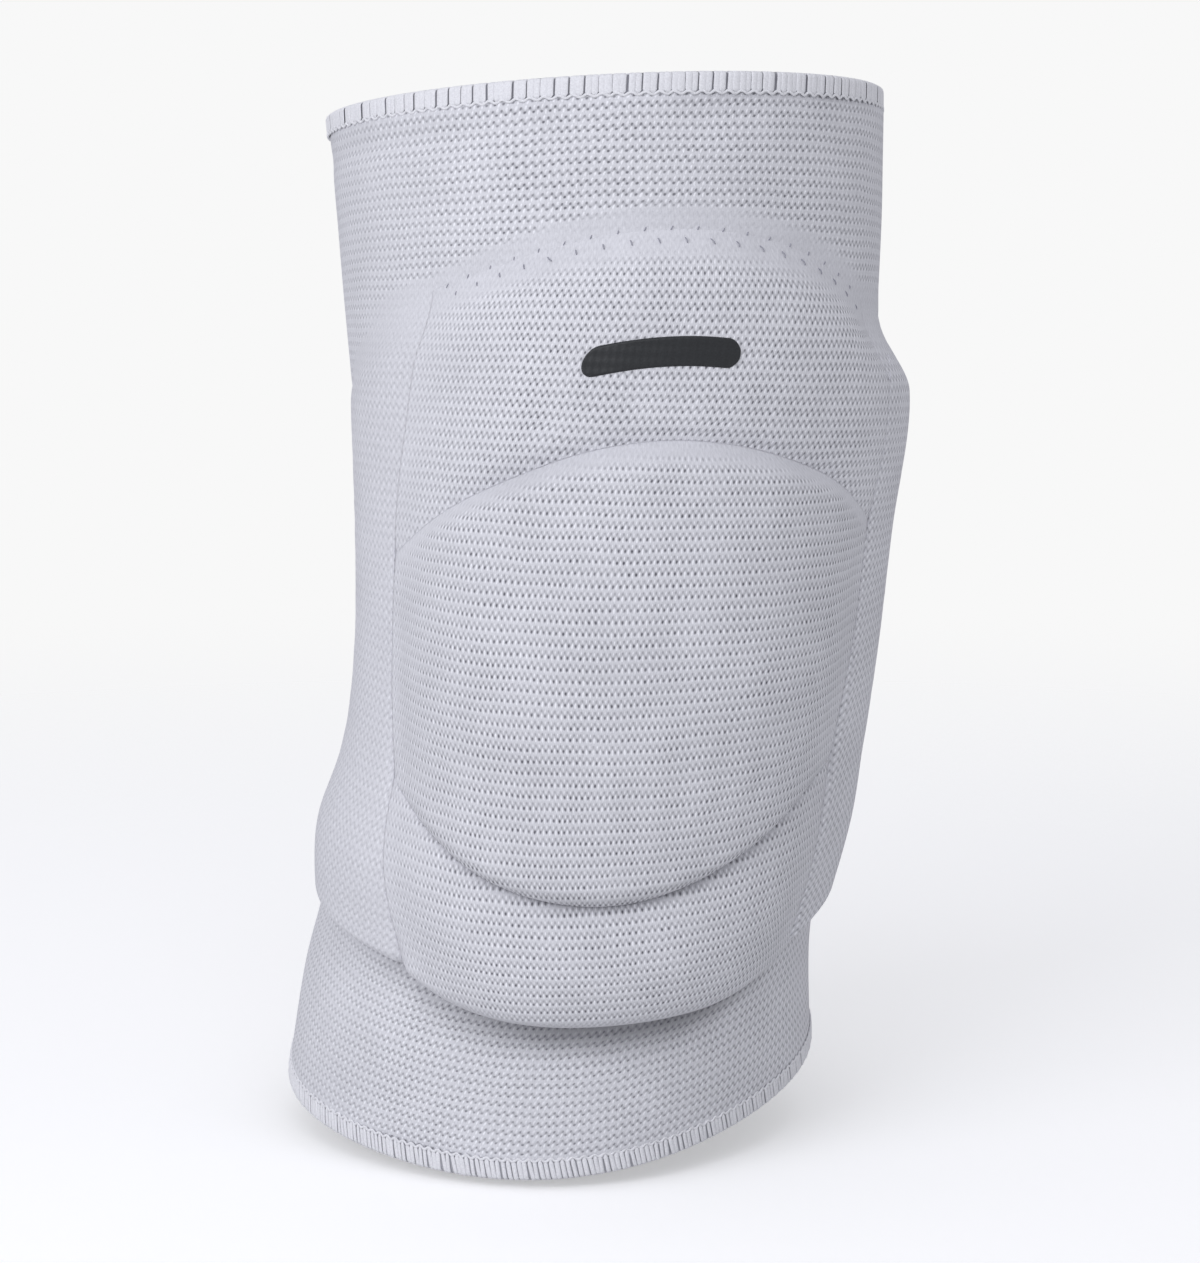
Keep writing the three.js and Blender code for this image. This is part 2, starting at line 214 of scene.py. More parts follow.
@dataclass(frozen=True)
class Courses:
    """How the knitted courses run: level at the thigh, and sagging in a U from the knee down.

    The course through a point has, at the front, the height share of the point less its bend times one
    minus the cosine of the turn. Its distance along the fabric is read off the front's own length, less
    the stretch of the knit over the pads.
    """

    bend: Curve = Curve(
        (0.0, 0.1, 0.2, 0.32, 0.45, 0.6, 0.75, 1.0), (0.0, 0.015, 0.03, 0.042, 0.03, 0.008, 0.0, 0.0)
    )
    length: Curve = Curve(
        (0.0, 0.147, 0.265, 0.47, 0.675, 0.862, 1.0), (0.0, 38.5, 71.4, 121.1, 167.3, 211.9, 244.0)
    )
    wales_round: int = 200

    def rise(self, turn: Array, up: Array) -> Array:
        """Distance in metres on the flat knit from the calf rim to the course through each point."""
        angle = np.radians(np.clip(signed(turn), -90, 90))
        return self.length(up - self.bend(up) * (1 - np.cos(angle))) * MM

    def tube_map(self, turn: Array, up: Array, pitch: float) -> Array:
        """Place on the flat knit in metres: round the leg by the turn, with a whole number of wales of
        that pitch in mm, and up the leg by the course."""
        return np.stack([turn / 360 * self.wales_round * pitch * MM, self.rise(turn, up)], -1)


COURSES = Courses()


def srgb(code: str) -> tuple[float, float, float, float]:
    """Linear colour with an alpha of one.

    Args:
        code: an sRGB hex value such as #e6e8f0.

    Returns:
        Red, green, blue and alpha.
    """
    channels = [int(code[i : i + 2], 16) / 255 for i in (1, 3, 5)]
    linear = [c / 12.92 if c <= 0.04045 else ((c + 0.055) / 1.055) ** 2.4 for c in channels]
    return (*linear, 1.0)


def add_node(
    tree: bpy.types.NodeTree, kind: str, *inputs: Any, output: Any = 0, **settings: Any
) -> Any:
    """Adds one shader node with its settings and links.

    Args:
        tree: the node tree that gets it.
        kind: Blender's name of the node's type, without the prefix ShaderNode.
        *inputs: what the inputs get, in their order: a value or another node's output, or a dictionary
            of such by the inputs' names or numbers.
        output: the output that is handed back, by its name or number.
        **settings: the node's own settings.

    Returns:
        The output socket, or the node itself where output is None.
    """
    node = tree.nodes.new("ShaderNode" + kind)
    for name, value in settings.items():
        setattr(node, name, value)
    for number, given in enumerate(inputs):
        for key, value in (given if isinstance(given, dict) else {number: given}).items():
            if isinstance(value, bpy.types.NodeSocket):
                tree.links.new(value, node.inputs[key])
            else:
                node.inputs[key].default_value = value
    return node if output is None else node.outputs[output]


NOISE_RANGE = (0.3, 0.7)
FIBRE_RANGE = (0.25, 0.75)


def new_material(name: str) -> tuple[bpy.types.Material, Nodes]:
    """Makes an empty node material.

    Args:
        name: its name.

    Returns:
        The material, and the function that adds a node to it.
    """
    material = bpy.data.materials.new(name)
    material.use_nodes = True
    material.node_tree.nodes.clear()
    return material, partial(add_node, material.node_tree)


@dataclass(frozen=True)
class Mark:
    """An oval that each loop of a course carries: a small opening or, with a negative shade, pale yarn.

    It lies on the middle line of a wale or between two wales. Lengths are mm.
    """

    between: bool
    level: float
    half_width: float
    half_height: float
    shade: float
    depth: float


@dataclass(frozen=True)
class KnitFinish:
    """Elastic polyamide knit, knitted as a tube: courses of loops with small dark openings.

    The eye sees matt white yarn with a faint cool tint. Each course has two staggered rows of openings
    that a dark zigzag joins, pale loops beside them and a plain rib above. Pitches, heights and how far
    the courses wander are mm. The scale of a slow noise is its waves to the mm, and what a noise
    changes goes from the first number of a pair to the second.
    """

    name: str
    wale: float
    marks: tuple[Mark, ...]
    zigzag: float
    stroke: float = 0.22
    stroke_edge: tuple[float, float] = (0.5, 0.05)
    lean: float = 0.0
    course: float = 2.35
    ground: str = "#f5f5f9"
    pit: str = "#606068"
    base: float = 0.3
    even: float = 0.25
    # darkest share of the painted shade that greys the yarn in creases
    crease: float = 0.5
    band: float = 0.06
    rib: float = 0.06
    wander: float = 1.5
    wander_scale: float = 0.05
    contrast: tuple[float, float] = (0.79, 0.9)
    contrast_scale: float = 0.11
    plain_contrast: float = 0.1
    cloud: tuple[float, float] = (0.955, 1.03)
    cloud_scale: float = 0.045
    grain: tuple[float, float] = (0.85, 1.1)
    fibre: float = 0.05
    fibre_slant: float = -24.0
    fibre_scale: tuple[float, float, float] = (2.6, 0.9, 1.0)
    roughness: float = 0.93

    def cell(self, node: Nodes, flat: Any) -> tuple[Any, Any, Any]:
        """Nodes that find the place in a course.

        The level is the distance along v to the nearest course's middle line. The side is the distance
        along u, which leans with the level, to the nearest wale's middle line.

        Args:
            node: adds a node.
            flat: the output that holds the place on the flat knit in mm.

        Returns:
            Outputs with the side and level as a vector, with the leaning u and v, and with the level.
        """
        u, v, _ = node("SeparateXYZ", flat, output=None).outputs
        counted = node("Math", v, 1 / self.course, 0.5, operation="MULTIPLY_ADD")
        part = node("Math", counted, operation="FRACT")
        level = node("Math", part, self.course, -self.course / 2, operation="MULTIPLY_ADD")
        leaning = node("Math", level, self.lean, u, operation="MULTIPLY_ADD")
        side = node("Math", leaning, self.wale / 2, operation="PINGPONG")
        return node("CombineXYZ", side, level), node("CombineXYZ", leaning, v), level

    def oval(self, node: Nodes, place: Any, numbered: Any, mark: Mark) -> Any:
        """Nodes that draw a mark: the length of the place from its middle, divided by the half sizes,
        turned into a soft spot, times a random strength of its own loop.

        Args:
            node: adds a node.
            place: the output with the side and the level.
            numbered: the output with the leaning u and v.
            mark: the mark.

        Returns:
            The mark's strength.
        """
        sign, start = (-1, self.wale / 2) if mark.between else (1, 0)
        scaled = node(
            "VectorMath", place, (sign / mark.half_width, 1 / mark.half_height, 0),
            (start / mark.half_width, -mark.level / mark.half_height, 0), operation="MULTIPLY_ADD",
        )
        away = node("VectorMath", scaled, output="Value", operation="LENGTH")
        spot = node("MapRange", away, 1.3, 0.2, interpolation_type="SMOOTHSTEP")
        cells = node(
            "VectorMath", numbered, (1 / self.wale, 1 / self.course, 0),
            (0 if mark.between else 0.5, 0.5, 0), operation="MULTIPLY_ADD",
        )
        corner = node("VectorMath", cells, operation="FLOOR")
        chance = node("TexWhiteNoise", {"Vector": corner}, output="Value")
        uneven = node("MapRange", chance, {"To Min": 0.7, "To Max": 1.2})
        return node("Math", spot, uneven, operation="MULTIPLY")

    def line(self, node: Nodes, place: Any) -> Any:
        """Nodes that draw the zigzag: the distance between the level and a triangle wave of the side,
        turned into a soft stroke.

        Args:
            node: adds a node.
            place: the output with the side and the level.

        Returns:
            The stroke's strength.
        """
        slope = (-2 * self.zigzag / self.wale, 1, 0)
        off = node("VectorMath", place, slope, output="Value", operation="DOT_PRODUCT")
        centred = node("Math", off, self.zigzag / 2, operation="ADD")
        distance = node("Math", centred, operation="ABSOLUTE")
        return node("MapRange", distance, *self.stroke_edge, interpolation_type="SMOOTHSTEP")

    def material(self) -> bpy.types.Material:
        """Builds the knit from the piece's UV map, in metres, and two attributes from 0 to 1: plain
        smooths the knit where it is stretched, and the other greys it with painted shade in the depth
        of a crease.

        Returns:
            The material.
        """
        material, node = new_material(self.name)
        uv = node("UVMap", uv_map="flat_knit")
        flat = node("VectorMath", uv, (1 / MM, 1 / MM, 0), operation="MULTIPLY")
        slow = {"Vector": flat, "Scale": self.wander_scale, "Detail": 4.0, "Roughness": 0.55}
        drift = node("TexNoise", slow, output="Color")
        shift = node(
            "VectorMath", drift, (2 * self.wander, self.wander, 0),
            (-self.wander, -self.wander / 2, 0), operation="MULTIPLY_ADD",
        )
        knit = node("VectorMath", flat, shift, operation="ADD")
        place, numbered, level = self.cell(node, knit)
        plain = node("Attribute", output="Fac", attribute_name="plain")
        patchy = node("TexNoise", {"Vector": flat, "Scale": self.contrast_scale, "Detail": 1.0})
        contrast = node("MapRange", patchy, *NOISE_RANGE, *self.contrast)
        patterned = node("MapRange", plain, 0.0, 1.0, contrast, self.plain_contrast)
        inside = node("Math", level, operation="ABSOLUTE")
        band = node(
            "MapRange", inside, self.course * 0.42, self.course * 0.2, self.base,
            self.base + self.band, interpolation_type="SMOOTHSTEP",
        )
        stroke = self.line(node, place)
        shade = node("Math", stroke, self.stroke, band, operation="MULTIPLY_ADD")
        wave = node("Math", level, 2 * math.pi / self.course, operation="MULTIPLY")
        rib = node("Math", wave, operation="COSINE")
        depth = node("Math", rib, -self.rib, operation="MULTIPLY")
        for mark in self.marks:
            oval = self.oval(node, place, numbered, mark)
            shade = node("Math", oval, mark.shade, shade, operation="MULTIPLY_ADD")
            depth = node("Math", oval, mark.depth, depth, operation="MULTIPLY_ADD")
        slanted = {"Rotation": (0, 0, math.radians(self.fibre_slant)), "Scale": self.fibre_scale}
        stretched = node("Mapping", {"Vector": flat, **slanted})
        fibre = node(
            "TexNoise", {"Vector": stretched, "Scale": 1.0, "Detail": 3.0, "Roughness": 0.65}
        )
        relief = node("Math", depth, patterned, operation="MULTIPLY")
        relief = node("Math", fibre, self.fibre, relief, operation="MULTIPLY_ADD")
        bump = node("Bump", {"Strength": 1.0, "Distance": MM, "Height": relief})
        shade = node("Math", shade, patterned, operation="MULTIPLY")
        smooth = node("Math", plain, self.even, shade, operation="MULTIPLY_ADD", use_clamp=True)
        mottle = node("TexNoise", {"Vector": flat, "Scale": self.cloud_scale, "Detail": 2.0})
        cloudy = node("MapRange", mottle, *NOISE_RANGE, *self.cloud)
        grain = node("MapRange", fibre, *FIBRE_RANGE, *self.grain)
        # Painted shade: a point attribute greys the yarn in creases and below the pads, standing in for
        # the shadow there
        tucked = node("Attribute", output="Fac", attribute_name="tucked")
        lit = node("Math", tucked, -self.crease, 1.0, operation="MULTIPLY_ADD")
        tone = node("Math", cloudy, grain, operation="MULTIPLY")
        tone = node("Math", tone, lit, operation="MULTIPLY")
        ground = node("VectorMath", srgb(self.ground)[:3], {"Scale": tone}, operation="SCALE")
        colour = node(
            "Mix", {0: smooth, 6: ground, 7: srgb(self.pit)}, output=2, data_type="RGBA"
        )
        shader = node("BsdfPrincipled", {
            "Base Color": colour, "Roughness": self.roughness, "Sheen Weight": 0.08,
            "Specular IOR Level": 0.25, "Normal": bump,
        })
        node("OutputMaterial", shader, output=None)
        return material


@dataclass(frozen=True)
class ThreadFinish:
    """Textured polyester sewing thread, spun and bleached: white, soft, with fine slanted filaments."""

    name: str = "polyester_overlock_thread"
    colour: str = "#ebebee"
    # grey painted on the rolled knit between the threads as their shade
    under: str = "#8b8b92"
    filament: float = 0.35
    filament_depth: float = 0.08
    tones: tuple[float, float] = (0.86, 1.02)
    roughness: float = 0.8

    def material(self) -> bpy.types.Material:
        """Builds the thread from Object coordinates: noise of the filament's width in mm. The point
        attribute under, from 0 to 1, marks the knit that lies below the threads, which gets the under
        colour as painted shade.

        Returns:
            The material.
        """
        material, node = new_material(self.name)
        where = node("TexCoord", output="Object")
        grain = node(
            "TexNoise", {"Vector": where, "Scale": 1 / (self.filament * MM), "Detail": 3.0}
        )
        distance = self.filament_depth * MM
        bump = node("Bump", {"Strength": 0.7, "Distance": distance, "Height": grain})
        tone = node("MapRange", grain, *NOISE_RANGE, *self.tones)
        # painted shade: the knit under the threads takes the grey colour
        under = node("Attribute", output="Fac", attribute_name="under")
        thread = node("VectorMath", srgb(self.colour)[:3], {"Scale": tone}, operation="SCALE")
        colour = node(
            "Mix", {0: under, 6: thread, 7: srgb(self.under)}, output=2, data_type="RGBA"
        )
        shader = node("BsdfPrincipled", {
            "Base Color": colour, "Roughness": self.roughness, "Sheen Weight": 0.08, "Normal": bump,
        })
        node("OutputMaterial", shader, output=None)
        return material


@dataclass(frozen=True)
class FilmFinish:
    """Polyurethane transfer film, heat-pressed on the knit: black, half matt, with the courses of the
    knit showing through as a faint relief."""

    name: str = "polyurethane_print_film"
    colour: str = "#212325"
    wale: float = 1.72
    course: float = 2.35
    grain: float = 1 / 2.2
    depth: float = 0.05
    tones: tuple[float, float] = (0.8, 1.25)
    roughness: float = 0.5

    def material(self) -> bpy.types.Material:
        """Builds the film on the piece's UV map: a relief of cosines with the knit's pitches, in mm,
        and of a noise with the width of its grain.

        Returns:
            The material.
        """
        material, node = new_material(self.name)
        uv = node("UVMap", uv_map="flat_knit")
        turns = (2 * math.pi / (self.wale * MM), 2 * math.pi / (self.course * MM), 0)
        phase = node("VectorMath", uv, turns, operation="MULTIPLY")
        waves = node("VectorMath", phase, operation="COSINE")
        wale, course, _ = node("SeparateXYZ", waves, output=None).outputs
        relief = node("Math", wale, 0.4, course, operation="MULTIPLY_ADD")
        grain = node("TexNoise", {"Vector": uv, "Scale": 1 / (self.grain * MM), "Detail": 2.0})
        relief = node("Math", grain, 0.8, relief, operation="MULTIPLY_ADD")
        bump = node("Bump", {"Strength": 0.8, "Distance": self.depth * MM, "Height": relief})
        tone = node("MapRange", grain, *NOISE_RANGE, *self.tones)
        colour = node("VectorMath", srgb(self.colour)[:3], {"Scale": tone}, operation="SCALE")
        shader = node(
            "BsdfPrincipled", {"Base Color": colour, "Roughness": self.roughness, "Normal": bump}
        )
        node("OutputMaterial", shader, output=None)
        return material


CUFF_MARKS = (
    Mark(False, -0.42, 0.4, 0.3, 0.46, -0.2),
    Mark(True, 0.42, 0.34, 0.36, 0.38, -0.18),
    Mark(True, -0.5, 0.3, 0.5, -0.6, 0.1),
    Mark(False, 0.6, 0.34, 0.5, -0.44, 0.1),
)
UPPER_MARKS = (
    Mark(False, -0.55, 0.28, 0.42, 0.46, -0.2),
    Mark(True, 0.5, 0.28, 0.38, 0.37, -0.16),
    Mark(True, -0.55, 0.26, 0.55, -0.6, 0.1),
    Mark(False, 0.6, 0.24, 0.5, -0.48, 0.1),
)
KNEE_MARKS = (
    Mark(False, -0.45, 0.28, 0.44, 0.52, -0.22),
    Mark(True, 0.6, 0.26, 0.36, 0.2, -0.1),
    Mark(True, -0.5, 0.24, 0.6, -0.6, 0.1),
    Mark(False, 0.5, 0.2, 0.4, -0.42, 0.08),
)


def steps(count: int, ease: float) -> Array:
    """Shares from 0 to 1, a mix of even steps and of cosine steps that lie closer at both ends."""
    even = np.linspace(0, 1, count + 1)
    return (1 - ease) * even + ease * (1 - np.cos(np.pi * even)) / 2


def run(points: Array) -> Array:
    """Length in metres along a row of points, (n, 3), from the first one to each."""
    return np.concatenate([[0], np.cumsum(np.linalg.norm(np.diff(points, axis=0), axis=1))])


def grid_quads(rows: int, columns: int, wrap_rows: bool, wrap_columns: bool) -> tuple[Array, Array]:
    """Quads of a grid of points, with the place of each corner in the unwrapped grid.

    Args:
        rows: points from row to row.
        columns: points in each row.
        wrap_rows: whether the last row joins the first.
        wrap_columns: whether the last column joins the first.

    Returns:
        Point numbers (n, 4), and the corners' row and column numbers (n, 4, 2), which run on past the
        end where the grid is wrapped.
    """
    j, i = np.meshgrid(
        np.arange(rows if wrap_rows else rows - 1),
        np.arange(columns if wrap_columns else columns - 1),
        indexing="ij",
    )
    corner_rows = np.stack([j, j, j + 1, j + 1], -1).reshape(-1, 4)
    corner_columns = np.stack([i, i + 1, i + 1, i], -1).reshape(-1, 4)
    points = (corner_rows % rows) * columns + corner_columns % columns
    return points, np.stack([corner_rows, corner_columns], -1)


@dataclass
class MeshParts:
    """Points and faces that are gathered into one closed mesh."""

    points: list[Array] = field(default_factory=list)
    faces: list[Array] = field(default_factory=list)
    maps: list[Array] = field(default_factory=list)
    rounded: list[Array] = field(default_factory=list)
    count: int = 0

    def add(self, points: Array, *faces: Array, corner_map: Optional[Array] = None,
            walls: int = 0) -> "MeshParts":
        """Adds a piece.

        Args:
            points: (n, 3) in metres.
            *faces: groups of faces by their point numbers, each (m, corners).
            corner_map: place of each corner on the flat knit, (m, corners, 2), or None.
            walls: how many of the last faces of each group are shaded flat.

        Returns:
            These parts.
        """
        self.points.append(points.reshape(-1, 3))
        for group in faces:
            self.faces.append(group + self.count)
            self.maps.append(np.zeros((*group.shape, 2)) if corner_map is None else corner_map)
            self.rounded.append(np.arange(len(group)) < len(group) - walls)
        self.count += len(self.points[-1])
        return self

    def build(self, name: str) -> bpy.types.Object:
        """Makes the object, smooth shaded but for its walls, with its UV map flat_knit.

        Args:
            name: its name.

        Returns:
            The object, in the scene.
        """
        mesh = bpy.data.meshes.new(name)
        sizes = np.concatenate([np.full(len(f), f.shape[1]) for f in self.faces])
        corners = np.concatenate([f.reshape(-1) for f in self.faces])
        mesh.vertices.add(self.count)
        mesh.loops.add(len(corners))
        mesh.polygons.add(len(sizes))
        starts = np.concatenate([[0], np.cumsum(sizes)[:-1]])
        for data, key, values, kind in (
            (mesh.vertices, "co", np.concatenate(self.points), np.float32),
            (mesh.loops, "vertex_index", corners, np.int32),
            (mesh.polygons, "loop_start", starts, np.int32),
            (mesh.polygons, "loop_total", sizes, np.int32),
        ):
            data.foreach_set(key, values.astype(kind).ravel())
        flat = np.concatenate([m.reshape(-1, 2) for m in self.maps]).astype(np.float32)
        mesh.uv_layers.new(name="flat_knit").data.foreach_set("uv", flat.ravel())
        mesh.update(calc_edges=True)
        mesh.validate()
        mesh.polygons.foreach_set("use_smooth", np.concatenate(self.rounded))
        made = bpy.data.objects.new(name, mesh)
        bpy.context.scene.collection.objects.link(made)
        return made


def shell(outer: Array, inner: Array, flat: Array) -> MeshParts:
    """A closed slab between two grids of points: the outer face, the inner face turned round, and four
    walls between their borders.

    Args:
        outer: (rows, columns, 3), rows running up the leg and columns by the turn.
        inner: the same for the inner face.
        flat: (rows, columns, 2), the place on the flat knit.

    Returns:
        The slab's points and faces.
    """
    rows, columns = outer.shape[:2]
    quads, corners = grid_quads(rows, columns, False, False)
    layer = rows * columns
    numbers = np.arange(layer).reshape(rows, columns)
    border = np.concatenate(
        [numbers[0, :], numbers[1:, -1], numbers[-1, -2::-1], numbers[-2:0:-1, 0]]
    )
    following = np.roll(border, -1)
    walls = np.stack([following, border, border + layer, following + layer], -1)
    corner_map = flat[corners[..., 0], corners[..., 1]]
    spread = np.concatenate([flat.reshape(-1, 2)] * 2)
    faces = np.concatenate([quads, quads[:, ::-1] + layer, walls])
    maps = np.concatenate([corner_map, corner_map[:, ::-1], spread[walls]])
    return MeshParts().add(np.stack([outer, inner]), faces, corner_map=maps, walls=len(walls))


def tubes(paths: Array, sides: Array, half_width: Any, half_height: Any, facets: int,
          closed: bool = False) -> tuple[Array, list[Array]]:
    """Threads of oval section along many paths at once.

    Each ring is the path's point plus the side direction times half the width times a cosine, plus the
    direction square to path and side times half the height times a sine.

    Args:
        paths: (threads, points, 3) in metres.
        sides: the direction of the width at each point, (threads, points, 3).
        half_width: in metres, one number or (threads or 1, points or 1).
        half_height: the same for the other half axis.
        facets: corners of each ring.
        closed: whether each path ends where it starts.

    Returns:
        All points, and the faces: quads, and the end caps where the paths are open.
    """
    threads, count = paths.shape[:2]
    if closed:
        along = np.roll(paths, -1, 1) - np.roll(paths, 1, 1)
    else:
        along = np.gradient(paths, axis=1)
    along = along / np.maximum(np.linalg.norm(along, axis=-1, keepdims=True), 1e-12)
    sides = sides - (sides * along).sum(-1, keepdims=True) * along
    sides = sides / np.maximum(np.linalg.norm(sides, axis=-1, keepdims=True), 1e-12)
    raised = np.cross(along, sides)
    angle = 2 * np.pi * np.arange(facets)[:, None] / facets
    wide = np.broadcast_to(half_width, (threads, count))[..., None, None]
    high = np.broadcast_to(half_height, (threads, count))[..., None, None]
    ring = sides[:, :, None] * wide * np.cos(angle) + raised[:, :, None] * high * np.sin(angle)
    quads, _ = grid_quads(count, facets, closed, True)
    starts = np.arange(threads)[:, None, None] * count * facets
    faces = [(quads[None] + starts).reshape(-1, 4)]
    if not closed:
        first = np.arange(facets)[None, ::-1] + starts[:, 0]
        last = np.arange(facets)[None] + (count - 1) * facets + starts[:, 0]
        faces.append(np.concatenate([first, last]))
    return (paths[:, :, None] + ring).reshape(-1, 3), faces


def dress(piece: bpy.types.Object, material: bpy.types.Material, slot: Slot, *nodes: str) -> None:
    """Gives a finished piece its material and body, and hides the CAD nodes that it stands for.

    Args:
        piece: the piece, in place.
        material: its finish.
        slot: not used.
        *nodes: CAD nodes that it replaces.
    """
    piece.data.materials.append(material)
    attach(piece, "root")
    if nodes:
        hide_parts(*nodes)
    LOG.info("%s: %d faces, stands for %s", piece.name, len(piece.data.polygons), list(nodes))


def set_attribute(piece: bpy.types.Object, name: str, values: Array) -> None:
    """Writes a point attribute that the piece's material reads.

    Args:
        piece: the piece.
        name: the attribute's name.
        values: a number from 0 to 1 for each of the first points; the others get 0.
    """
    every = np.zeros(len(piece.data.vertices), np.float32)
    every[: values.size] = values.ravel()
    piece.data.attributes.new(name, "FLOAT", "POINT").data.foreach_set("value", every)


def blending(coarse: Array, fine: Array) -> Array:
    """Matrix that carries values at the coarse shares to the fine ones by smooth cubic weights: each
    fine place takes the four rows around it, as a curve through them with their neighbours' slopes.

    Args:
        coarse: growing shares.
        fine: shares in the same range.

    Returns:
        (fine, coarse) weights, whose rows add up to one.
    """
    return np.stack([Curve(tuple(coarse), tuple(row))(fine) for row in np.eye(len(coarse))], -1)


@dataclass(frozen=True)
class Puff:
    """A cloth simulation of a closed pad, blown up by air pressure, on every so many grid lines.

    The inner face and the sewn cloth are pinned, there is no gravity, and no point moves by more than
    the cap, in mm.
    """

    every: int
    cap: float
    pressure: float
    frames: int = 20
    mass: float = 0.02
    stretch: float = 12.0
    shear: float = 6.0
    bending: float = 0.4

    def moves(self, outer: Array, inner: Array, held: Array) -> Array:
        """How far the pressure moves the cloth.

        Args:
            outer: the outer face's points, (rows, columns, 3), a few mm apart.
            inner: the inner face's points.
            held: (rows, columns), true where the cloth is sewn down.

        Returns:
            The outer face's moves, (rows, columns, 3).
        """
        cloth = shell(outer, inner, np.zeros((*held.shape, 2))).build("pad_cloth")
        pins = cloth.vertex_groups.new(name="sewn")
        pinned = np.concatenate([held.ravel(), np.ones(held.size, bool)])
        pins.add([int(n) for n in np.flatnonzero(pinned)], 1.0, "REPLACE")
        modifier = cloth.modifiers.new("Cloth", "CLOTH")
        for name, value in (
            ("quality", 6), ("mass", self.mass), ("tension_stiffness", self.stretch),
            ("compression_stiffness", self.stretch), ("shear_stiffness", self.shear),
            ("bending_stiffness", self.bending), ("vertex_group_mass", "sewn"),
            ("use_pressure", True), ("uniform_pressure_force", self.pressure),
        ):
            setattr(modifier.settings, name, value)
        modifier.settings.effector_weights.gravity = 0
        modifier.collision_settings.use_collision = False
        modifier.point_cache.frame_start, modifier.point_cache.frame_end = 1, self.frames
        for number in range(1, self.frames + 1):
            bpy.context.scene.frame_set(number)
        evaluated = cloth.evaluated_get(bpy.context.evaluated_depsgraph_get())
        moved = np.zeros(2 * outer.size, np.float32)
        evaluated.data.vertices.foreach_get("co", moved)
        moves = moved[: outer.size].reshape(outer.shape) - outer
        bpy.context.scene.frame_set(1)
        bpy.data.objects.remove(cloth)
        far = np.linalg.norm(moves, axis=-1, keepdims=True)
        return moves * np.minimum(1, self.cap * MM / np.maximum(far, 1e-9))

    def blow(self, name: str, faces: tuple[Array, Array], s: Array, t: Array, held: Array,
             eased: Array) -> Array:
        """Puffs a pad's outer face; the coarse moves are carried to its grid by smooth weights.

        Args:
            name: the pad's name, for the log.
            faces: the outer and the inner face's points, (rows, columns, 3).
            s: the grid's shares from column to column.
            t: the grid's shares from row to row.
            held: (rows, columns), true where the cloth is sewn down inside its border.
            eased: (rows, columns), the share of the moves that each point takes.

        Returns:
            The outer face's points.
        """
        coarse = slice(None, None, self.every)
        sewn = held[coarse, coarse].copy()
        sewn[[0, -1]] = True
        sewn[:, [0, -1]] = True
        moves = self.moves(faces[0][coarse, coarse], faces[1][coarse, coarse], sewn)
        way = np.sign(s[-1] - s[0])
        down, over = blending(t[coarse], t), blending(way * s[coarse], way * s)
        LOG.info("%s: cloth moved by up to %.2f mm", name, np.linalg.norm(moves, axis=-1).max() / MM)
        return faces[0] + eased[..., None] * np.einsum("ij,jkc,lk->ilc", down, moves, over)


@dataclass(frozen=True)
class EdgeFold:
    """How the cloth comes up from a crease or an edge of a pad.

    It starts at a level in mm over the tube and rises over a width in mm. The level of a joined edge
    passes over to the side pads' height at the seams.
    """

    level: float
    width: float
    soft: bool = False
    joined: bool = True

    def rise(self, distance: Array) -> Array:
        """Share of the way to the pad's full height at a distance in mm from the edge: a quarter of an
        ellipse or, where the fold is soft, a quarter of a sine."""
        x = np.clip(distance / self.width, 0, 1)
        return np.sin(np.pi / 2 * x) if self.soft else np.sqrt(1 - (1 - x) ** 2)


SEAMS = {
    Side.LEFT: Curve(SIDE_UPS, (-34.0, -37, -43, -47, -51, -50, -44, -41, -38)),
    Side.RIGHT: Curve(SIDE_UPS, (53.0, 54, 55, 56, 58, 60, 63, 65, 66)),
}
BACK_EDGES = {
    Side.LEFT: Curve(SIDE_UPS, (-84.0, -102, -119, -110, -101, -98, -93, -84, -70)),
    Side.RIGHT: Curve(SIDE_UPS, (84.0, 98, 114, 120, 122, 125, 128, 120, 104)),
}
SIDE_SWELLS = {
    Side.LEFT: Curve(SIDE_UPS, (0.5, 0.62, 0.84, 0.62, 0.53, 0.52, 0.48, 0.38, 0.25)),
    Side.RIGHT: Curve(SIDE_UPS, (0.5, 0.6, 0.72, 0.68, 0.7, 0.72, 0.88, 0.68, 0.3)),
}
SIDE_TOPS = {
    Side.LEFT: Curve(OUTWARD, (0.806, 0.796, 0.778, 0.748, 0.71, 0.63)),
    Side.RIGHT: Curve(OUTWARD, (0.8, 0.798, 0.79, 0.768, 0.734, 0.65)),
}
SIDE_BOTTOMS = {
    Side.LEFT: Curve(OUTWARD, (0.188, 0.199, 0.21, 0.226, 0.25, 0.31)),
    Side.RIGHT: Curve(OUTWARD, (0.174, 0.19, 0.2, 0.216, 0.242, 0.32)),
}
SEAM_PULLS = {
    Side.LEFT: Curve(
        (0.14, 0.19, 0.24, 0.33, 0.355, 0.39, 0.5, 0.557, 0.6, 0.8),
        (2.2, 1.6, 0.1, 0.15, 0.8, 0.15, 0.05, 0.2, 0.0, 0.0),
    ),
    Side.RIGHT: Curve(
        (0.14, 0.19, 0.24, 0.33, 0.365, 0.4, 0.5, 0.594, 0.65, 0.8),
        (1.4, 1.2, 0.4, 0.7, 1.2, 0.8, 0.2, 0.4, 0.15, 0.1),
    ),
}
THIGH_ARC = Curve(ACROSS, (0.806, 0.828, 0.846, 0.858, 0.862, 0.858, 0.847, 0.828, 0.8))
KNEE_TOP = Curve(ACROSS, (0.557, 0.6, 0.634, 0.662, 0.675, 0.673, 0.659, 0.635, 0.594))
KNEE_BOTTOM = Curve(ACROSS, (0.355, 0.318, 0.286, 0.269, 0.265, 0.275, 0.298, 0.33, 0.365))
CALF_ARC = Curve(ACROSS, (0.182, 0.164, 0.154, 0.149, 0.147, 0.146, 0.147, 0.155, 0.172))
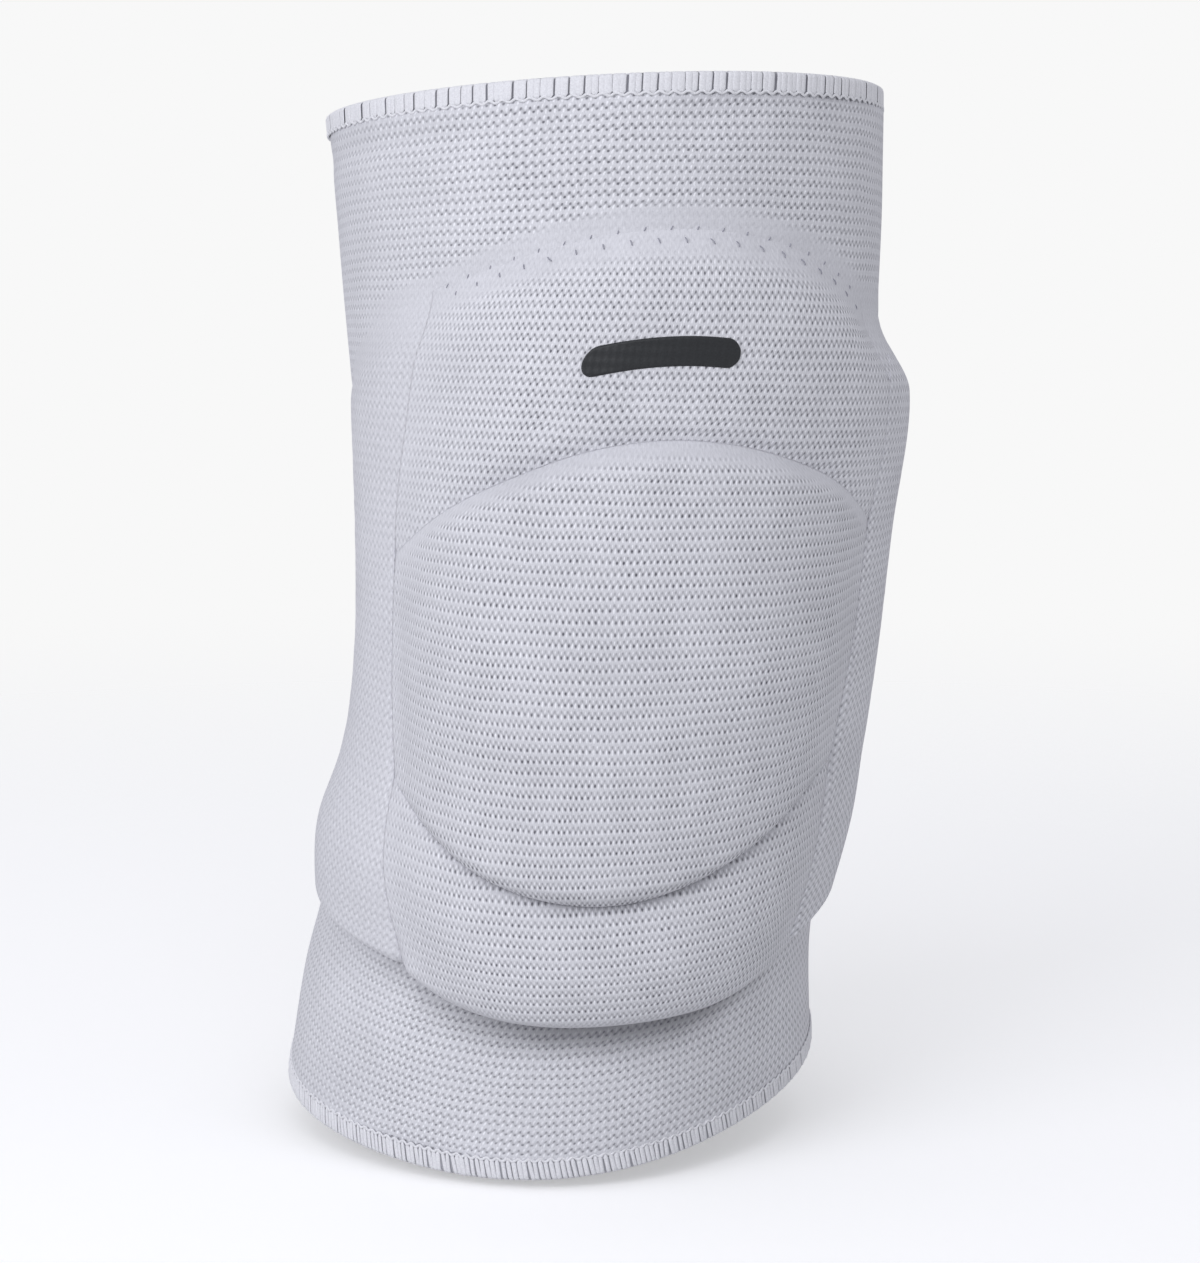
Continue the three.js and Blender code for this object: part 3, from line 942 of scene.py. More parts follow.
# Heights, gaps and widths in mm
SIDE_THICKNESS = 9.5
SEAM_GAP = 0.01
SEAM_WIDTH = 1.2
FEATHER_WIDTH = 17.0
LIFT = 0.5  # how far out every cover lies
SUNK = -0.25  # the height of a thin edge, just under the tube's face
UNDERSIDE = 0.3  # the most that a cover's underside lies over the tube
CREASE = 0.3  # how far a joined crease lies under the side pads
SHALLOW = 4.0  # the height under which a cloth dips less at a seam
# Where a knit is stretched plain: by the place across a front pad, and by the turn round the cuffs
PAD_PLAIN = ((-1, -0.8, -0.5, 0.72, 1), (0.8, 0.4, 0, 0, 0.4))
CUFF_PLAIN = ((-60, -18, 42, 75), (0.6, 0, 0, 0.4))
LOW_CUFF_PLAIN = ((0.11, 0.16), (0.22, 0))
# How far the painted shade below the pads reaches round the leg, by the turn
SHADE_ROUND = ((-70, -45, -25, 0, 30, 60, 80), (0, 0.35, 0.5, 1, 1, 0.5, 0))


def pad_reach(turn: Array, up: Array) -> tuple[Array, Array, Array]:
    """How far the padding reaches round a place on the tube.

    Args:
        turn: degrees from the front, from -180 to 180.
        up: height share.

    Returns:
        Height shares of the padding's upper and lower edges there, and the place outward in a side
        pad, from 0 at its seam to 1 at its back edge and beyond.
    """
    left, right = SEAMS[Side.LEFT](up), SEAMS[Side.RIGHT](up)
    across = np.clip(2 * (turn - left) / (right - left) - 1, -1, 1)
    top, bottom = THIGH_ARC(across), CALF_ARC(across)
    outward = np.zeros_like(top)
    for side, seam in ((Side.LEFT, left), (Side.RIGHT, right)):
        place = (turn - seam) / (BACK_EDGES[side](up) - seam)
        beside = (turn - seam) * side.value > 0
        top = np.where(beside, SIDE_TOPS[side](place), top)
        bottom = np.where(beside, SIDE_BOTTOMS[side](place), bottom)
        outward = np.where(beside, place, outward)
    return top, bottom, outward


def side_height(side: Side, up: Array) -> Array:
    """Mm over the tube of a side pad's full height, which is also the front pads' at its seam."""
    return SIDE_THICKNESS * SIDE_SWELLS[side](up) + LIFT


def seam_drop(side: Side, up: Array, distance: Array) -> Array:
    """Mm by which the cloth dips towards a side seam: the seam's pull times a bell of the distance."""
    return SEAM_PULLS[side](up) * np.exp(-((distance / SEAM_WIDTH) ** 2))


def feather(distance: Array) -> Array:
    """Share of its thickness that a pad has at a distance in mm below its arc-shaped upper edge: three
    times the square less twice the cube of the distance over its width."""
    x = np.clip(distance / FEATHER_WIDTH, 0, 1)
    return 3 * x**2 - 2 * x**3


def pad_outline(low: Array, high: Array, along: Array) -> Array:
    """Height share at a share along a pad, which keeps half the seam's gap at both of its edges."""
    half_gap = SEAM_GAP / 2 / LEG.height
    return low + half_gap + (high - low - 2 * half_gap) * along


def make_cover(name: str, node: str, faces: tuple[Array, Array], flat: Array, fill: float,
               material: bpy.types.Material, **attributes: Array) -> bpy.types.Object:
    """Makes a padded piece of its two faces and dresses it.

    Args:
        name: its name.
        node: the CAD node that it replaces.
        faces: its outer and inner points, (rows, columns, 3).
        flat: the place on the flat knit, (rows, columns, 2).
        fill: not used.
        material: its knit.
        **attributes: what its knit reads, (rows, columns), for the outer face.

    Returns:
        The piece.
    """
    piece = shell(*faces, flat).build(name)
    for key, values in attributes.items():
        set_attribute(piece, key, values)
    dress(piece, material, Slot.PADDED_KNIT, node)
    return piece


@dataclass(frozen=True)
class FrontPad:
    """A pad on the front of the knee, between two creases and the two side seams.

    Its height over the tube is the swell of its own middle, carried over to the height at the seams by
    a smooth step of a power of the place across, less the folds at its edges.
    """

    name: str
    node: str
    low: Curve
    high: Curve
    thickness: float
    swell: Curve
    low_fold: Optional[EdgeFold]
    high_fold: Optional[EdgeFold]
    plain_low: tuple[float, float] = (0.0, 0.01)
    plain_high: tuple[float, float] = (0.0, 0.01)
    rows: int = 96
    columns: int = 132
    fill: float = 0.8
    sinking: float = 1.0
    flank_power: float = 2.2
    # share and fade width in mm of the painted shade above the lower edge
    shaded: float = 0.0
    shade_width: float = 4.5
    puff: Puff = Puff(4, 2.5, 9.0)

    def shares(self) -> tuple[Array, Array]:
        """The grid's shares from left to right and from the lower edge up."""
        return steps(self.columns, 0.45), steps(self.rows, 0.5)

    def outline(self, across: Array, along: Array) -> tuple[Array, Array]:
        """Lays out the pad: its turn goes evenly from seam to seam, and its height share from edge to
        edge.

        Args:
            across: place from -1, at the left seam, to 1, at the right one.
            along: place from 0, at the lower edge, to 1, at the upper one.

        Returns:
            Turn in degrees, and height share.
        """
        up = pad_outline(self.low(across), self.high(across), along)
        gap_turn = math.degrees(SEAM_GAP / LEG.knee_width)
        left, right = SEAMS[Side.LEFT](up) + gap_turn, SEAMS[Side.RIGHT](up) - gap_turn
        return left + (right - left) * (across + 1) / 2, up

    def length(self, across: Array) -> Array:
        """Mm from the lower edge to the upper one."""
        return (self.high(across) - self.low(across)) * LEG.height

    def height(self, across: Array, along: Array) -> Array:
        """How high the cover's face lies, as the class says, less the dips at the seams.

        Args:
            across: place from -1 to 1.
            along: place from 0 to 1.

        Returns:
            Mm over the tube.
        """
        _, up = self.outline(across, along)
        length = self.length(across)
        from_low, from_high = along * length, (1 - along) * length
        at_seam = np.where(across < 0, side_height(Side.LEFT, up), side_height(Side.RIGHT, up))
        if self.high_fold is None:
            at_seam = at_seam * feather(from_high)
        flank = np.abs(across) ** self.flank_power
        share = flank**2 * (3 - 2 * flank)
        middle = self.swell(along) * (self.thickness + LIFT)
        full = middle + (at_seam - middle) * share
        settled = full
        for fold, distance in ((self.low_fold, from_low), (self.high_fold, from_high)):
            if fold is not None:
                passed = share if fold.joined else 0.0
                start = fold.level + (at_seam - CREASE - fold.level) * passed
                settled = settled - (full - start) * (1 - fold.rise(distance))
        span = np.radians(SEAMS[Side.RIGHT](up) - SEAMS[Side.LEFT](up)) * LEG.knee_width / 2
        to_left, to_right = (across + 1) / 2 * span, (1 - across) / 2 * span
        dip = seam_drop(Side.LEFT, up, to_left) + seam_drop(Side.RIGHT, up, to_right)
        return np.maximum(settled - dip * np.clip(settled / SHALLOW, 0, 1), SUNK)

    def surface(self, across: Array, along: Array, out: float = 0.0, sink: float = 0.0) -> Array:
        """Points of the face, sunk in the pad's middle by a bowl of powers and a sine.

        Args:
            across: place from -1 to 1.
            along: place from 0 to 1.
            out: mm over the face.
            sink: depth of the bowl in mm.

        Returns:
            The points in metres, with a last axis of three.
        """
        turn, up = self.outline(across, along)
        bowl = (1 - across**4) ** 2 * np.sin(np.pi * np.clip(along, 0, 1)) ** 0.6
        return LEG.place(turn, up, self.height(across, along) + out - sink * bowl)

    def flat_map(self, across: Array, along: Array) -> Array:
        """Place on the flat knit: by the length of the middle row across, and by the course.

        Args:
            across: place from -1 to 1.
            along: place from 0 to 1.

        Returns:
            The place in metres, with a last axis of two.
        """
        line = np.linspace(-1, 1, 161)
        lengths = run(self.surface(line, np.full_like(line, 0.5)))
        u = np.interp(across, line, lengths - np.interp(0, line, lengths))
        turn, up = self.outline(across, along)
        return np.stack([u, COURSES.rise(turn, up)], -1)

    def build(self, material: bpy.types.Material) -> Array:
        """Makes the cover, puffed by the cloth simulation.

        Its knit is plain at the creases and the seams, and carries painted shade that fades within a
        few mm above its lower edge.

        Args:
            material: its knit.

        Returns:
            The outer face's points, (rows, columns, 3).
        """
        s, t = self.shares()
        across, along = np.meshgrid(2 * s - 1, t)
        face = self.surface(across, along, sink=self.sinking)
        turn, up = self.outline(across, along)
        under = np.minimum(UNDERSIDE, self.height(across, along) - UNDERSIDE)
        inner = LEG.place(turn, up, under)
        held, eased = np.zeros_like(across, bool), (1 - across**6) ** 2
        face = self.puff.blow(self.name, (face, inner), s, t, held, eased)
        from_low = along * self.length(across)
        plain = np.maximum.reduce([
            np.interp(from_low, self.plain_low, (1, 0)),
            np.interp(self.length(across) - from_low, self.plain_high, (1, 0)),
            np.interp(across, *PAD_PLAIN),
        ])
        # painted shade above the lower edge, strongest in the middle of the pad
        low_shade = np.clip(1 - from_low / self.shade_width, 0, 1)
        make_cover(
            self.name, self.node, (face, inner), self.flat_map(across, along), self.fill, material,
            plain=plain, tucked=self.shaded * low_shade * (1 - np.abs(across) ** 3),
        )
        return face


@dataclass(frozen=True)
class SidePad:
    """The padding that runs on round the leg from a side seam and tapers out towards the back."""

    name: str
    node: str
    side: Side
    bottom_fold: EdgeFold = EdgeFold(-0.1, 3.0, joined=False)
    faint: float = 0.4
    rows: int = 150
    columns: int = 84
    wale: float = 1.72
    fill: float = 0.6
    sinking: float = 0.5
    puff: Puff = Puff(3, 1.5, 6.0)

    def outline(self, outward: Array, along: Array) -> tuple[Array, Array]:
        """Lays out the pad: its turn goes evenly from the seam to the back edge, and its height share
        from edge to edge.

        Args:
            outward: place from 0, at the seam, to 1, at the back edge.
            along: place from 0, at the lower edge, to 1, at the upper one.

        Returns:
            Turn in degrees, and height share.
        """
        up = pad_outline(SIDE_BOTTOMS[self.side](outward), SIDE_TOPS[self.side](outward), along)
        seam = SEAMS[self.side](up) + self.side.value * math.degrees(SEAM_GAP / LEG.knee_width)
        return seam + (BACK_EDGES[self.side](up) - seam) * outward, up

    def length(self, outward: Array) -> Array:
        """Mm from the lower edge to the upper one."""
        return (SIDE_TOPS[self.side](outward) - SIDE_BOTTOMS[self.side](outward)) * LEG.height

    def height(self, outward: Array, along: Array) -> Array:
        """How high the cover's face lies: the side's swell, fading with a cosine towards the back, less
        the fold at the lower edge, the soft rise at the upper one and the seam's dip.

        Args:
            outward: place from 0 to 1.
            along: place from 0 to 1.

        Returns:
            Mm over the tube.
        """
        turn, up = self.outline(outward, along)
        taper = (1 + np.cos(np.pi * np.clip((outward - 0.2) / 0.8, 0, 1))) / 2
        from_low = along * self.length(outward)
        from_high = self.length(outward) - from_low
        swollen = side_height(self.side, up) * taper * feather(from_high)
        fold = self.bottom_fold
        settled = swollen - (swollen - fold.level) * (1 - fold.rise(from_low))
        seam_distance = np.radians(np.abs(turn - SEAMS[self.side](up))) * LEG.knee_width / 2
        dip = seam_drop(self.side, up, seam_distance) * np.clip(settled / SHALLOW, 0, 1)
        at_back, at_top = np.clip(outward * 4 - 3, 0, 1), np.clip(1 - from_high / 2.0, 0, 1)
        return np.maximum(settled - dip, 0) + SUNK * np.maximum(at_back, at_top)

    def build(self, material: bpy.types.Material) -> None:
        """Makes the cover, puffed by the cloth simulation, with a knit that is plainer at its upper
        edge.

        Args:
            material: its knit.
        """
        s, t = steps(self.columns, 0.3), steps(self.rows, 0.5)
        if self.side is Side.LEFT:
            s = 1 - s
        outward, along = np.meshgrid(s, t)
        turn, up = self.outline(outward, along)
        height = self.height(outward, along)
        bowl = (np.sin(np.pi * along) ** 0.3 * np.sin(np.pi * outward)) ** 2
        face = LEG.place(turn, up, height - self.sinking * bowl)
        inner = LEG.place(turn, up, np.minimum(UNDERSIDE, height - UNDERSIDE))
        eased = np.clip(outward / 0.25, 0, 1) ** 2
        face = self.puff.blow(self.name, (face, inner), s, t, outward > 0.8, eased)
        from_high = (1 - along) * self.length(outward)
        edge = np.interp(from_high, (7, 15), (1, 0)) * np.clip(1.4 - outward, 0, 1)
        make_cover(
            self.name, self.node, (face, inner), COURSES.tube_map(turn, up, self.wale), self.fill,
            material, plain=self.faint + (1 - self.faint) * edge,
        )


@dataclass(frozen=True)
class Dent:
    """A soft dent or fold in the knit tube: turn and height share of its middle, its half widths in
    degrees and in shares, and its depth in mm."""

    turn: float
    up: float
    wide: float
    high: float
    depth: float


@dataclass(frozen=True)
class KnittedTube:
    """The knitted tube with its cuffs, as one closed wall that is open at both ends."""

    name: str = "knitted_tube"
    columns: int = 288
    rows: int = 150
    inner_rows: int = 44
    wale: float = 2.11
    rim_band: float = 4.3
    pressed: float = 0.35
    tuck: float = 1.3
    tuck_width: float = 2.6
    plain_band: tuple[float, float] = (3.0, 4.5)
    # mm below the pads where the painted shade starts to fade, and over how many mm it fades
    shade_start: float = 3.5
    shade_width: float = 5.5
    fade: float = 0.02
    waves: tuple[tuple[float, int, int, float], ...] = ((0.22, 3, 9, 0.0), (0.16, 5, -14, 1.0))
    dents: tuple[Dent, ...] = (
        Dent(-52, 0.955, 30, 0.012, 0.9),
        Dent(22, 0.962, 9, 0.016, 1.1),
        Dent(64, 0.93, 16, 0.03, 0.5),
        Dent(-30, 0.915, 40, 0.02, -0.4),
        Dent(-20, 0.13, 22, 0.012, 1.0),
        Dent(18, 0.118, 30, 0.012, 1.0),
        Dent(-62, 0.16, 18, 0.02, 0.6),
        Dent(40, 0.06, 20, 0.03, -0.5),
    )

    def relief(self, turn: Array, up: Array) -> Array:
        """How far the fabric lies off the smooth tube: a sum of bell-shaped dents and of slow waves,
        fading at the rims, less the groove where the pads' lower edge is sewn down.

        Args:
            turn: degrees from the front, from 0 to 360.
            up: height share.

        Returns:
            Mm outwards.
        """
        total = np.zeros_like(turn)
        for dent in self.dents:
            beside = (signed(turn) - dent.turn) / dent.wide
            total -= dent.depth * np.exp(-(beside**2) - ((up - dent.up) / dent.high) ** 2)
        for depth, round_leg, up_leg, start in self.waves:
            total += depth * np.sin(round_leg * np.radians(turn) + up_leg * up + start)
        top, bottom, outward = pad_reach(signed(turn), up)
        off_pads = np.maximum(np.maximum(up - top, bottom - up) / self.fade, (outward - 1) / 0.2)
        total *= np.clip(off_pads, 0, 1) * np.clip(np.minimum(up, 1 - up) / self.fade, 0, 1)
        groove = np.exp(-(((bottom - up) * LEG.height / self.tuck_width) ** 2))
        return total - self.tuck * groove * np.clip(1 - outward * 1.6, 0, 1)

    def build(self, material: bpy.types.Material) -> None:
        """Makes the tube: the outer wall from the calf rim up, then the inner wall back down. Outside,
        its knit is plain above the pads' arc and at the sides, and has painted shade below the pads.

        Args:
            material: its knit.
        """
        ups = np.concatenate([steps(self.rows, 0.2), steps(self.inner_rows, 0.2)[::-1]])
        inside = (np.arange(len(ups)) > self.rows)[:, None]
        turns = np.linspace(0, 360, self.columns, endpoint=False) + 180
        turn, up = np.meshgrid(turns % 360, ups)
        relief = self.relief(turn, up)
        from_rim = np.minimum(up, 1 - up) * LEG.height
        pressed = self.pressed * np.clip((self.rim_band - from_rim) / 0.8, 0, 1)
        out = np.where(inside, -LEG.wall + relief * 0.8 + pressed, relief - pressed)
        quads, corners = grid_quads(len(ups), self.columns, True, True)
        corner_up = np.append(ups, ups[0])[corners[..., 0]]
        corner_turn = -180 + 360 * corners[..., 1] / self.columns
        flat = COURSES.tube_map(corner_turn, corner_up, self.wale)
        piece = MeshParts().add(LEG.place(turn, up, out), quads, corner_map=flat).build(self.name)
        around = signed(turn)
        top, bottom, outward = pad_reach(around, up)
        above, below = (up - top) * LEG.height, (bottom - up) * LEG.height
        band = np.interp(above, self.plain_band, (1, 0)) * (above > -20)
        band = band * np.clip(1.3 - outward, 0, 1)
        aside, low_cuff = np.interp(around, *CUFF_PLAIN), np.interp(up, *LOW_CUFF_PLAIN)
        set_attribute(piece, "plain", np.maximum.reduce([band, aside, low_cuff]) * ~inside)
        # painted shade on the cuff just below the pads, where they would cast a shadow
        painted_shade_below_pads = np.clip(1 - (below - self.shade_start) / self.shade_width, 0, 1) ** 1.5
        painted_shade_below_pads = painted_shade_below_pads * np.interp(around, *SHADE_ROUND)
        set_attribute(piece, "tucked", painted_shade_below_pads * (up < bottom + 0.01) * ~inside)
        dress(piece, material, Slot.SLEEVE_KNIT, "knit_sleeve")


@dataclass(frozen=True)
class RimStitches:
    """The overlock stitching that wraps a rim: pairs of threads over the edge, a looper thread along
    their lower ends on both faces, and the rolled knit that shows between them, painted grey as shade."""

    name: str
    node: str
    rim: float
    away: int
    height: float
    pairs: int
    slant: float
    thread_width: float
    pair_spread: float = 0.2
    uneven: float = 0.12
    thread_height: float = 0.34
    seed: int = 5
    over: float = 0.12
    thread_end: float = 0.6
    flatness: float = 0.55
    looper_wave: float = 0.32
    looper_bulge: float = 0.08
    looper_sizes: tuple[float, float] = (0.32, 0.24)

    def profile(self, share: Array, off: float) -> tuple[Array, Array, Array]:
        """Path of a thread over the rim: up the outer face, round the edge as a half circle and down
        the inner face.

        Args:
            share: place on the path from 0, at the outer lower end, to 1.
            off: mm between the knit's faces and the path.

        Returns:
            Height share, mm out from the tube's face and mm of rise.
        """
        radius = LEG.wall / 2 + off
        straight = self.height - self.thread_end
        place = share * (2 * straight + np.pi * radius)
        angle = np.clip((place - straight) / radius, 0, np.pi)
        back = np.clip(place - straight - np.pi * radius, 0, straight)
        fall = np.clip(straight - place, 0, straight) + back
        up = self.rim - self.away * (fall + self.thread_end) / LEG.height
        out = -LEG.wall / 2 + radius * np.cos(angle)
        return up, out, radius * np.sin(angle) * self.away * self.flatness

    def threads(self, parts: MeshParts) -> None:
        """Adds the wrapped threads, two to a pair, each slanted and a little uneven.

        Args:
            parts: what they are added to.
        """
        chance = np.random.default_rng(self.seed)
        share = np.linspace(0, 1, 17)
        up, out, rise = self.profile(share, self.over)
        pitch = 360 / self.pairs
        offsets = np.array([-self.pair_spread, self.pair_spread]) * pitch
        starts = (np.arange(self.pairs)[:, None] * pitch + offsets).ravel()
        starts = starts + np.repeat(chance.normal(0, self.uneven * pitch * 0.5, self.pairs), 2)
        starts = starts[:, None]
        lean = self.slant * (1 + chance.normal(0, 0.12, starts.shape))
        turn = starts + lean * np.clip(share * 2.6, 0, 1)
        swell = 1 + 0.1 * np.sin(starts)
        centre = LEG.place(turn, up, out + 0.06 * np.sin(starts * 1.7), rise)
        side = LEG.place(turn + 0.2, up, out, rise) - LEG.place(turn - 0.2, up, out, rise)
        ends = np.clip(np.minimum(share, 1 - share) / 0.04, 0.45, 1) * MM / 2
        points, faces = tubes(
            centre, side, self.thread_width * swell * ends, self.thread_height * ends[None], 10
        )
        parts.add(points, *faces)

    def looper(self, parts: MeshParts, out: float) -> None:
        """Adds the looper thread, a tube that waves up and down by a sine once for each pair.

        Args:
            parts: what it is added to.
            out: mm from the tube's outer face.
        """
        turn = np.linspace(0, 360, self.pairs * 8, endpoint=False)
        phase = np.radians(turn) * self.pairs
        below = self.height - 0.05 + self.looper_wave * np.sin(phase)
        edge = self.rim - self.away * below / LEG.height
        bulge = self.looper_bulge * np.cos(phase) * np.sign(out + LEG.wall / 2)
        centre = LEG.place(turn, edge, out + bulge)[None]
        side = (LEG.place(turn, edge + 0.002, out) - LEG.place(turn, edge - 0.002, out))[None]
        wide, high = self.looper_sizes
        points, faces = tubes(centre, side, wide * MM, high * MM, 6, closed=True)
        parts.add(points, *faces)

    def rolled_edge(self, parts: MeshParts) -> None:
        """Adds the knit edge under the threads, a closed channel with rounded faces.

        Args:
            parts: what it is added to.
        """
        share = np.linspace(0, 1, 25)
        outside, inside = self.profile(share, -0.08), self.profile(share[::-1], -0.3)
        ups, outs, rises = (np.append(a, b) for a, b in zip(outside, inside))
        turn = np.linspace(0, 360, 240, endpoint=False)
        points = LEG.place(turn, ups[:, None], outs[:, None], rises[:, None])
        quads, _ = grid_quads(len(ups), len(turn), True, True)
        parts.add(points, quads if self.away > 0 else quads[:, ::-1])

    def build(self, material: bpy.types.Material) -> None:
        """Makes the stitched rim as one piece.

        Args:
            material: its thread.
        """
        parts = MeshParts()
        self.rolled_edge(parts)
        below = parts.count
        self.threads(parts)
        self.looper(parts, self.over)
        self.looper(parts, -LEG.wall - self.over)
        piece = parts.build(self.name)
        # the rolled knit gets the painted shade of the gaps between the threads
        set_attribute(piece, "under", np.ones(below))
        dress(piece, material, Slot.THREAD, self.node)


STITCH = np.linspace(-0.5, 0.5, 7)
STITCH_RISE = 0.1 - 0.4 * (2 * STITCH) ** 2
STITCH_RADIUS = 0.13


def make_stitches(name: str, centre: Array, side: Array, material: bpy.types.Material) -> None:
    """Makes a row of stitches, each an arc that rises out of the cloth and dives back in.

    Args:
        name: the piece's name.
        centre: the stitches' paths, (stitches, points, 3).
        side: directions across them, of the same shape.
        material: their thread.
    """
    points, faces = tubes(centre, side, STITCH_RADIUS * MM, STITCH_RADIUS * MM, 6)
    dress(MeshParts().add(points, *faces).build(name), material, Slot.THREAD)


@dataclass(frozen=True)
class SeamStitches:
    """A row of short straight stitches that lies in the dip of a side seam."""

    name: str
    side: Side
    low: float
    high: float
    pitch: float = 3.1
    stitch: float = 1.6

    def build(self, material: bpy.types.Material) -> None:
        """Makes the stitches, at even steps along the seam.

        Args:
            material: their thread.
        """
        count = int((self.high - self.low) * LEG.height / self.pitch)
        middle = np.linspace(self.low, self.high, count)[:, None]
        up = middle + STITCH * self.stitch / LEG.height
        turn = SEAMS[self.side](up) + 0.15 * self.side.value
        height = side_height(self.side, up) - SEAM_PULLS[self.side](up)
        side = LEG.place(turn + 0.3, up, height) - LEG.place(turn - 0.3, up, height)
        make_stitches(self.name, LEG.place(turn, up, height + STITCH_RISE), side, material)


@dataclass(frozen=True)
class ArcStitches:
    """What shows of the zigzag that sews the upper pad's edge down: short slanted stitches, sunk in the
    plain band along the pad's arc, by turns in an upper and a lower row."""

    name: str
    pad: FrontPad
    pitch: float = 2.9
    row_gap: float = 2.6
    length: float = 1.0
    inset: float = 1.8
    seed: int = 3

    def along(self, across: Array, off: Any) -> Array:
        """Place along the pad of a point that lies off mm above the band's middle line."""
        return 1 - (self.inset - off) / self.pad.length(across)

    def build(self, material: bpy.types.Material) -> None:
        """Makes the stitches, at even steps along the arc.

        Args:
            material: their thread.
        """
        line = np.linspace(-0.95, 0.95, 400)
        lengths = run(self.pad.surface(line, self.along(line, 0.0)))
        count = int(lengths[-1] / (self.pitch * MM))
        middles = np.interp((np.arange(count) + 0.5) / count * lengths[-1], lengths, line)
        per_mm = (line[-1] - line[0]) / (lengths[-1] / MM)
        way = np.where(np.arange(count) % 2 == 0, 1.0, -1.0)[:, None]
        lean = way * np.random.default_rng(self.seed).normal(0.45, 0.2, (count, 1))
        across = middles[:, None] + STITCH * self.length * lean * per_mm
        along = self.along(across, way * self.row_gap / 2 + STITCH * self.length)
        base = self.pad.surface(across, along)
        normal = self.pad.surface(across, along, out=1.0) - base
        centre = base + normal * STITCH_RISE[:, None]
        make_stitches(self.name, centre, np.cross(np.gradient(centre, axis=1), normal), material)


@dataclass(frozen=True)
class PrintBar:
    """A plain printed bar with round ends on the upper pad, a thin film that follows its cloth."""

    name: str = "print_bar"
    width: float = 35.0
    height: float = 6.5
    thickness: float = 0.32
    across: float = -0.05
    along: float = 0.42
    proud: float = 0.06
    rooted: float = 0.12
    columns: int = 96
    rows: int = 20

    def build(self, material: bpy.types.Material, pad: FrontPad, face: Array) -> None:
        """Makes the bar on the pad's finished face.

        The bar is a stadium: its half height is the root of one less the square of the place in the
        round end. Each point is read off the cloth's own points, then moved out along the normal.

        Args:
            material: its film.
            pad: the pad that carries it.
            face: the pad's outer points, (rows, columns, 3).
        """
        near = 0.01
        middle = np.array([self.across, self.along])
        corners = middle + np.array([[0.0, 0.0], [near, 0.0], [0.0, near]])
        here, aside, ahead = pad.surface(corners[:, 0], corners[:, 1])
        per_across = np.linalg.norm(aside - here) / MM / near
        per_along = np.linalg.norm(ahead - here) / MM / near
        radius = self.height / 2
        x = (steps(self.columns, 0.8) - 0.5) * self.width
        past = np.clip((np.abs(x) - (self.width / 2 - radius)) / radius, 0, 0.995)
        y = (2 * steps(self.rows, 0.4)[:, None] - 1) * radius * np.sqrt(1 - past**2)
        across = self.across + np.broadcast_to(x, y.shape) / per_across
        along = self.along + y / per_along
        s, t = pad.shares()
        weights = blending(s, (across.ravel() + 1) / 2), blending(t, along.ravel())
        cloth = np.einsum("nk,nj,jkc->nc", *weights, face).reshape(*y.shape, 3)
        normal = np.cross(np.gradient(cloth, axis=1), np.gradient(cloth, axis=0))
        normal /= np.linalg.norm(normal, axis=-1, keepdims=True)
        row, column = np.arange(self.rows + 1)[:, None], np.arange(self.columns + 1)
        row_edge, column_edge = np.minimum(row, row[::-1]), np.minimum(column, column[::-1])
        inside = np.clip(np.minimum(row_edge / 1.5, column_edge / 2), 0, 1)
        top = cloth + normal * (self.proud + self.thickness * inside[..., None]) * MM
        bottom = cloth - normal * self.rooted * MM
        piece = shell(top, bottom, pad.flat_map(across, along)).build(self.name)
        dress(piece, material, Slot.FILM, "front_print")


def aimed(name: str, data: Any, place: Vector, aim: Vector) -> bpy.types.Object:
    """Puts a camera or a lamp at its place and turns it to its aim.

    Args:
        name: its name.
        data: the camera's or the lamp's data.
        place: where it stands, in metres.
        aim: the point that it looks at.

    Returns:
        The object.
    """
    made = bpy.data.objects.new(name, data)
    made.location = place
    made.rotation_euler = (aim - place).to_track_quat("-Z", "Y").to_euler()
    bpy.context.scene.collection.objects.link(made)
    return made


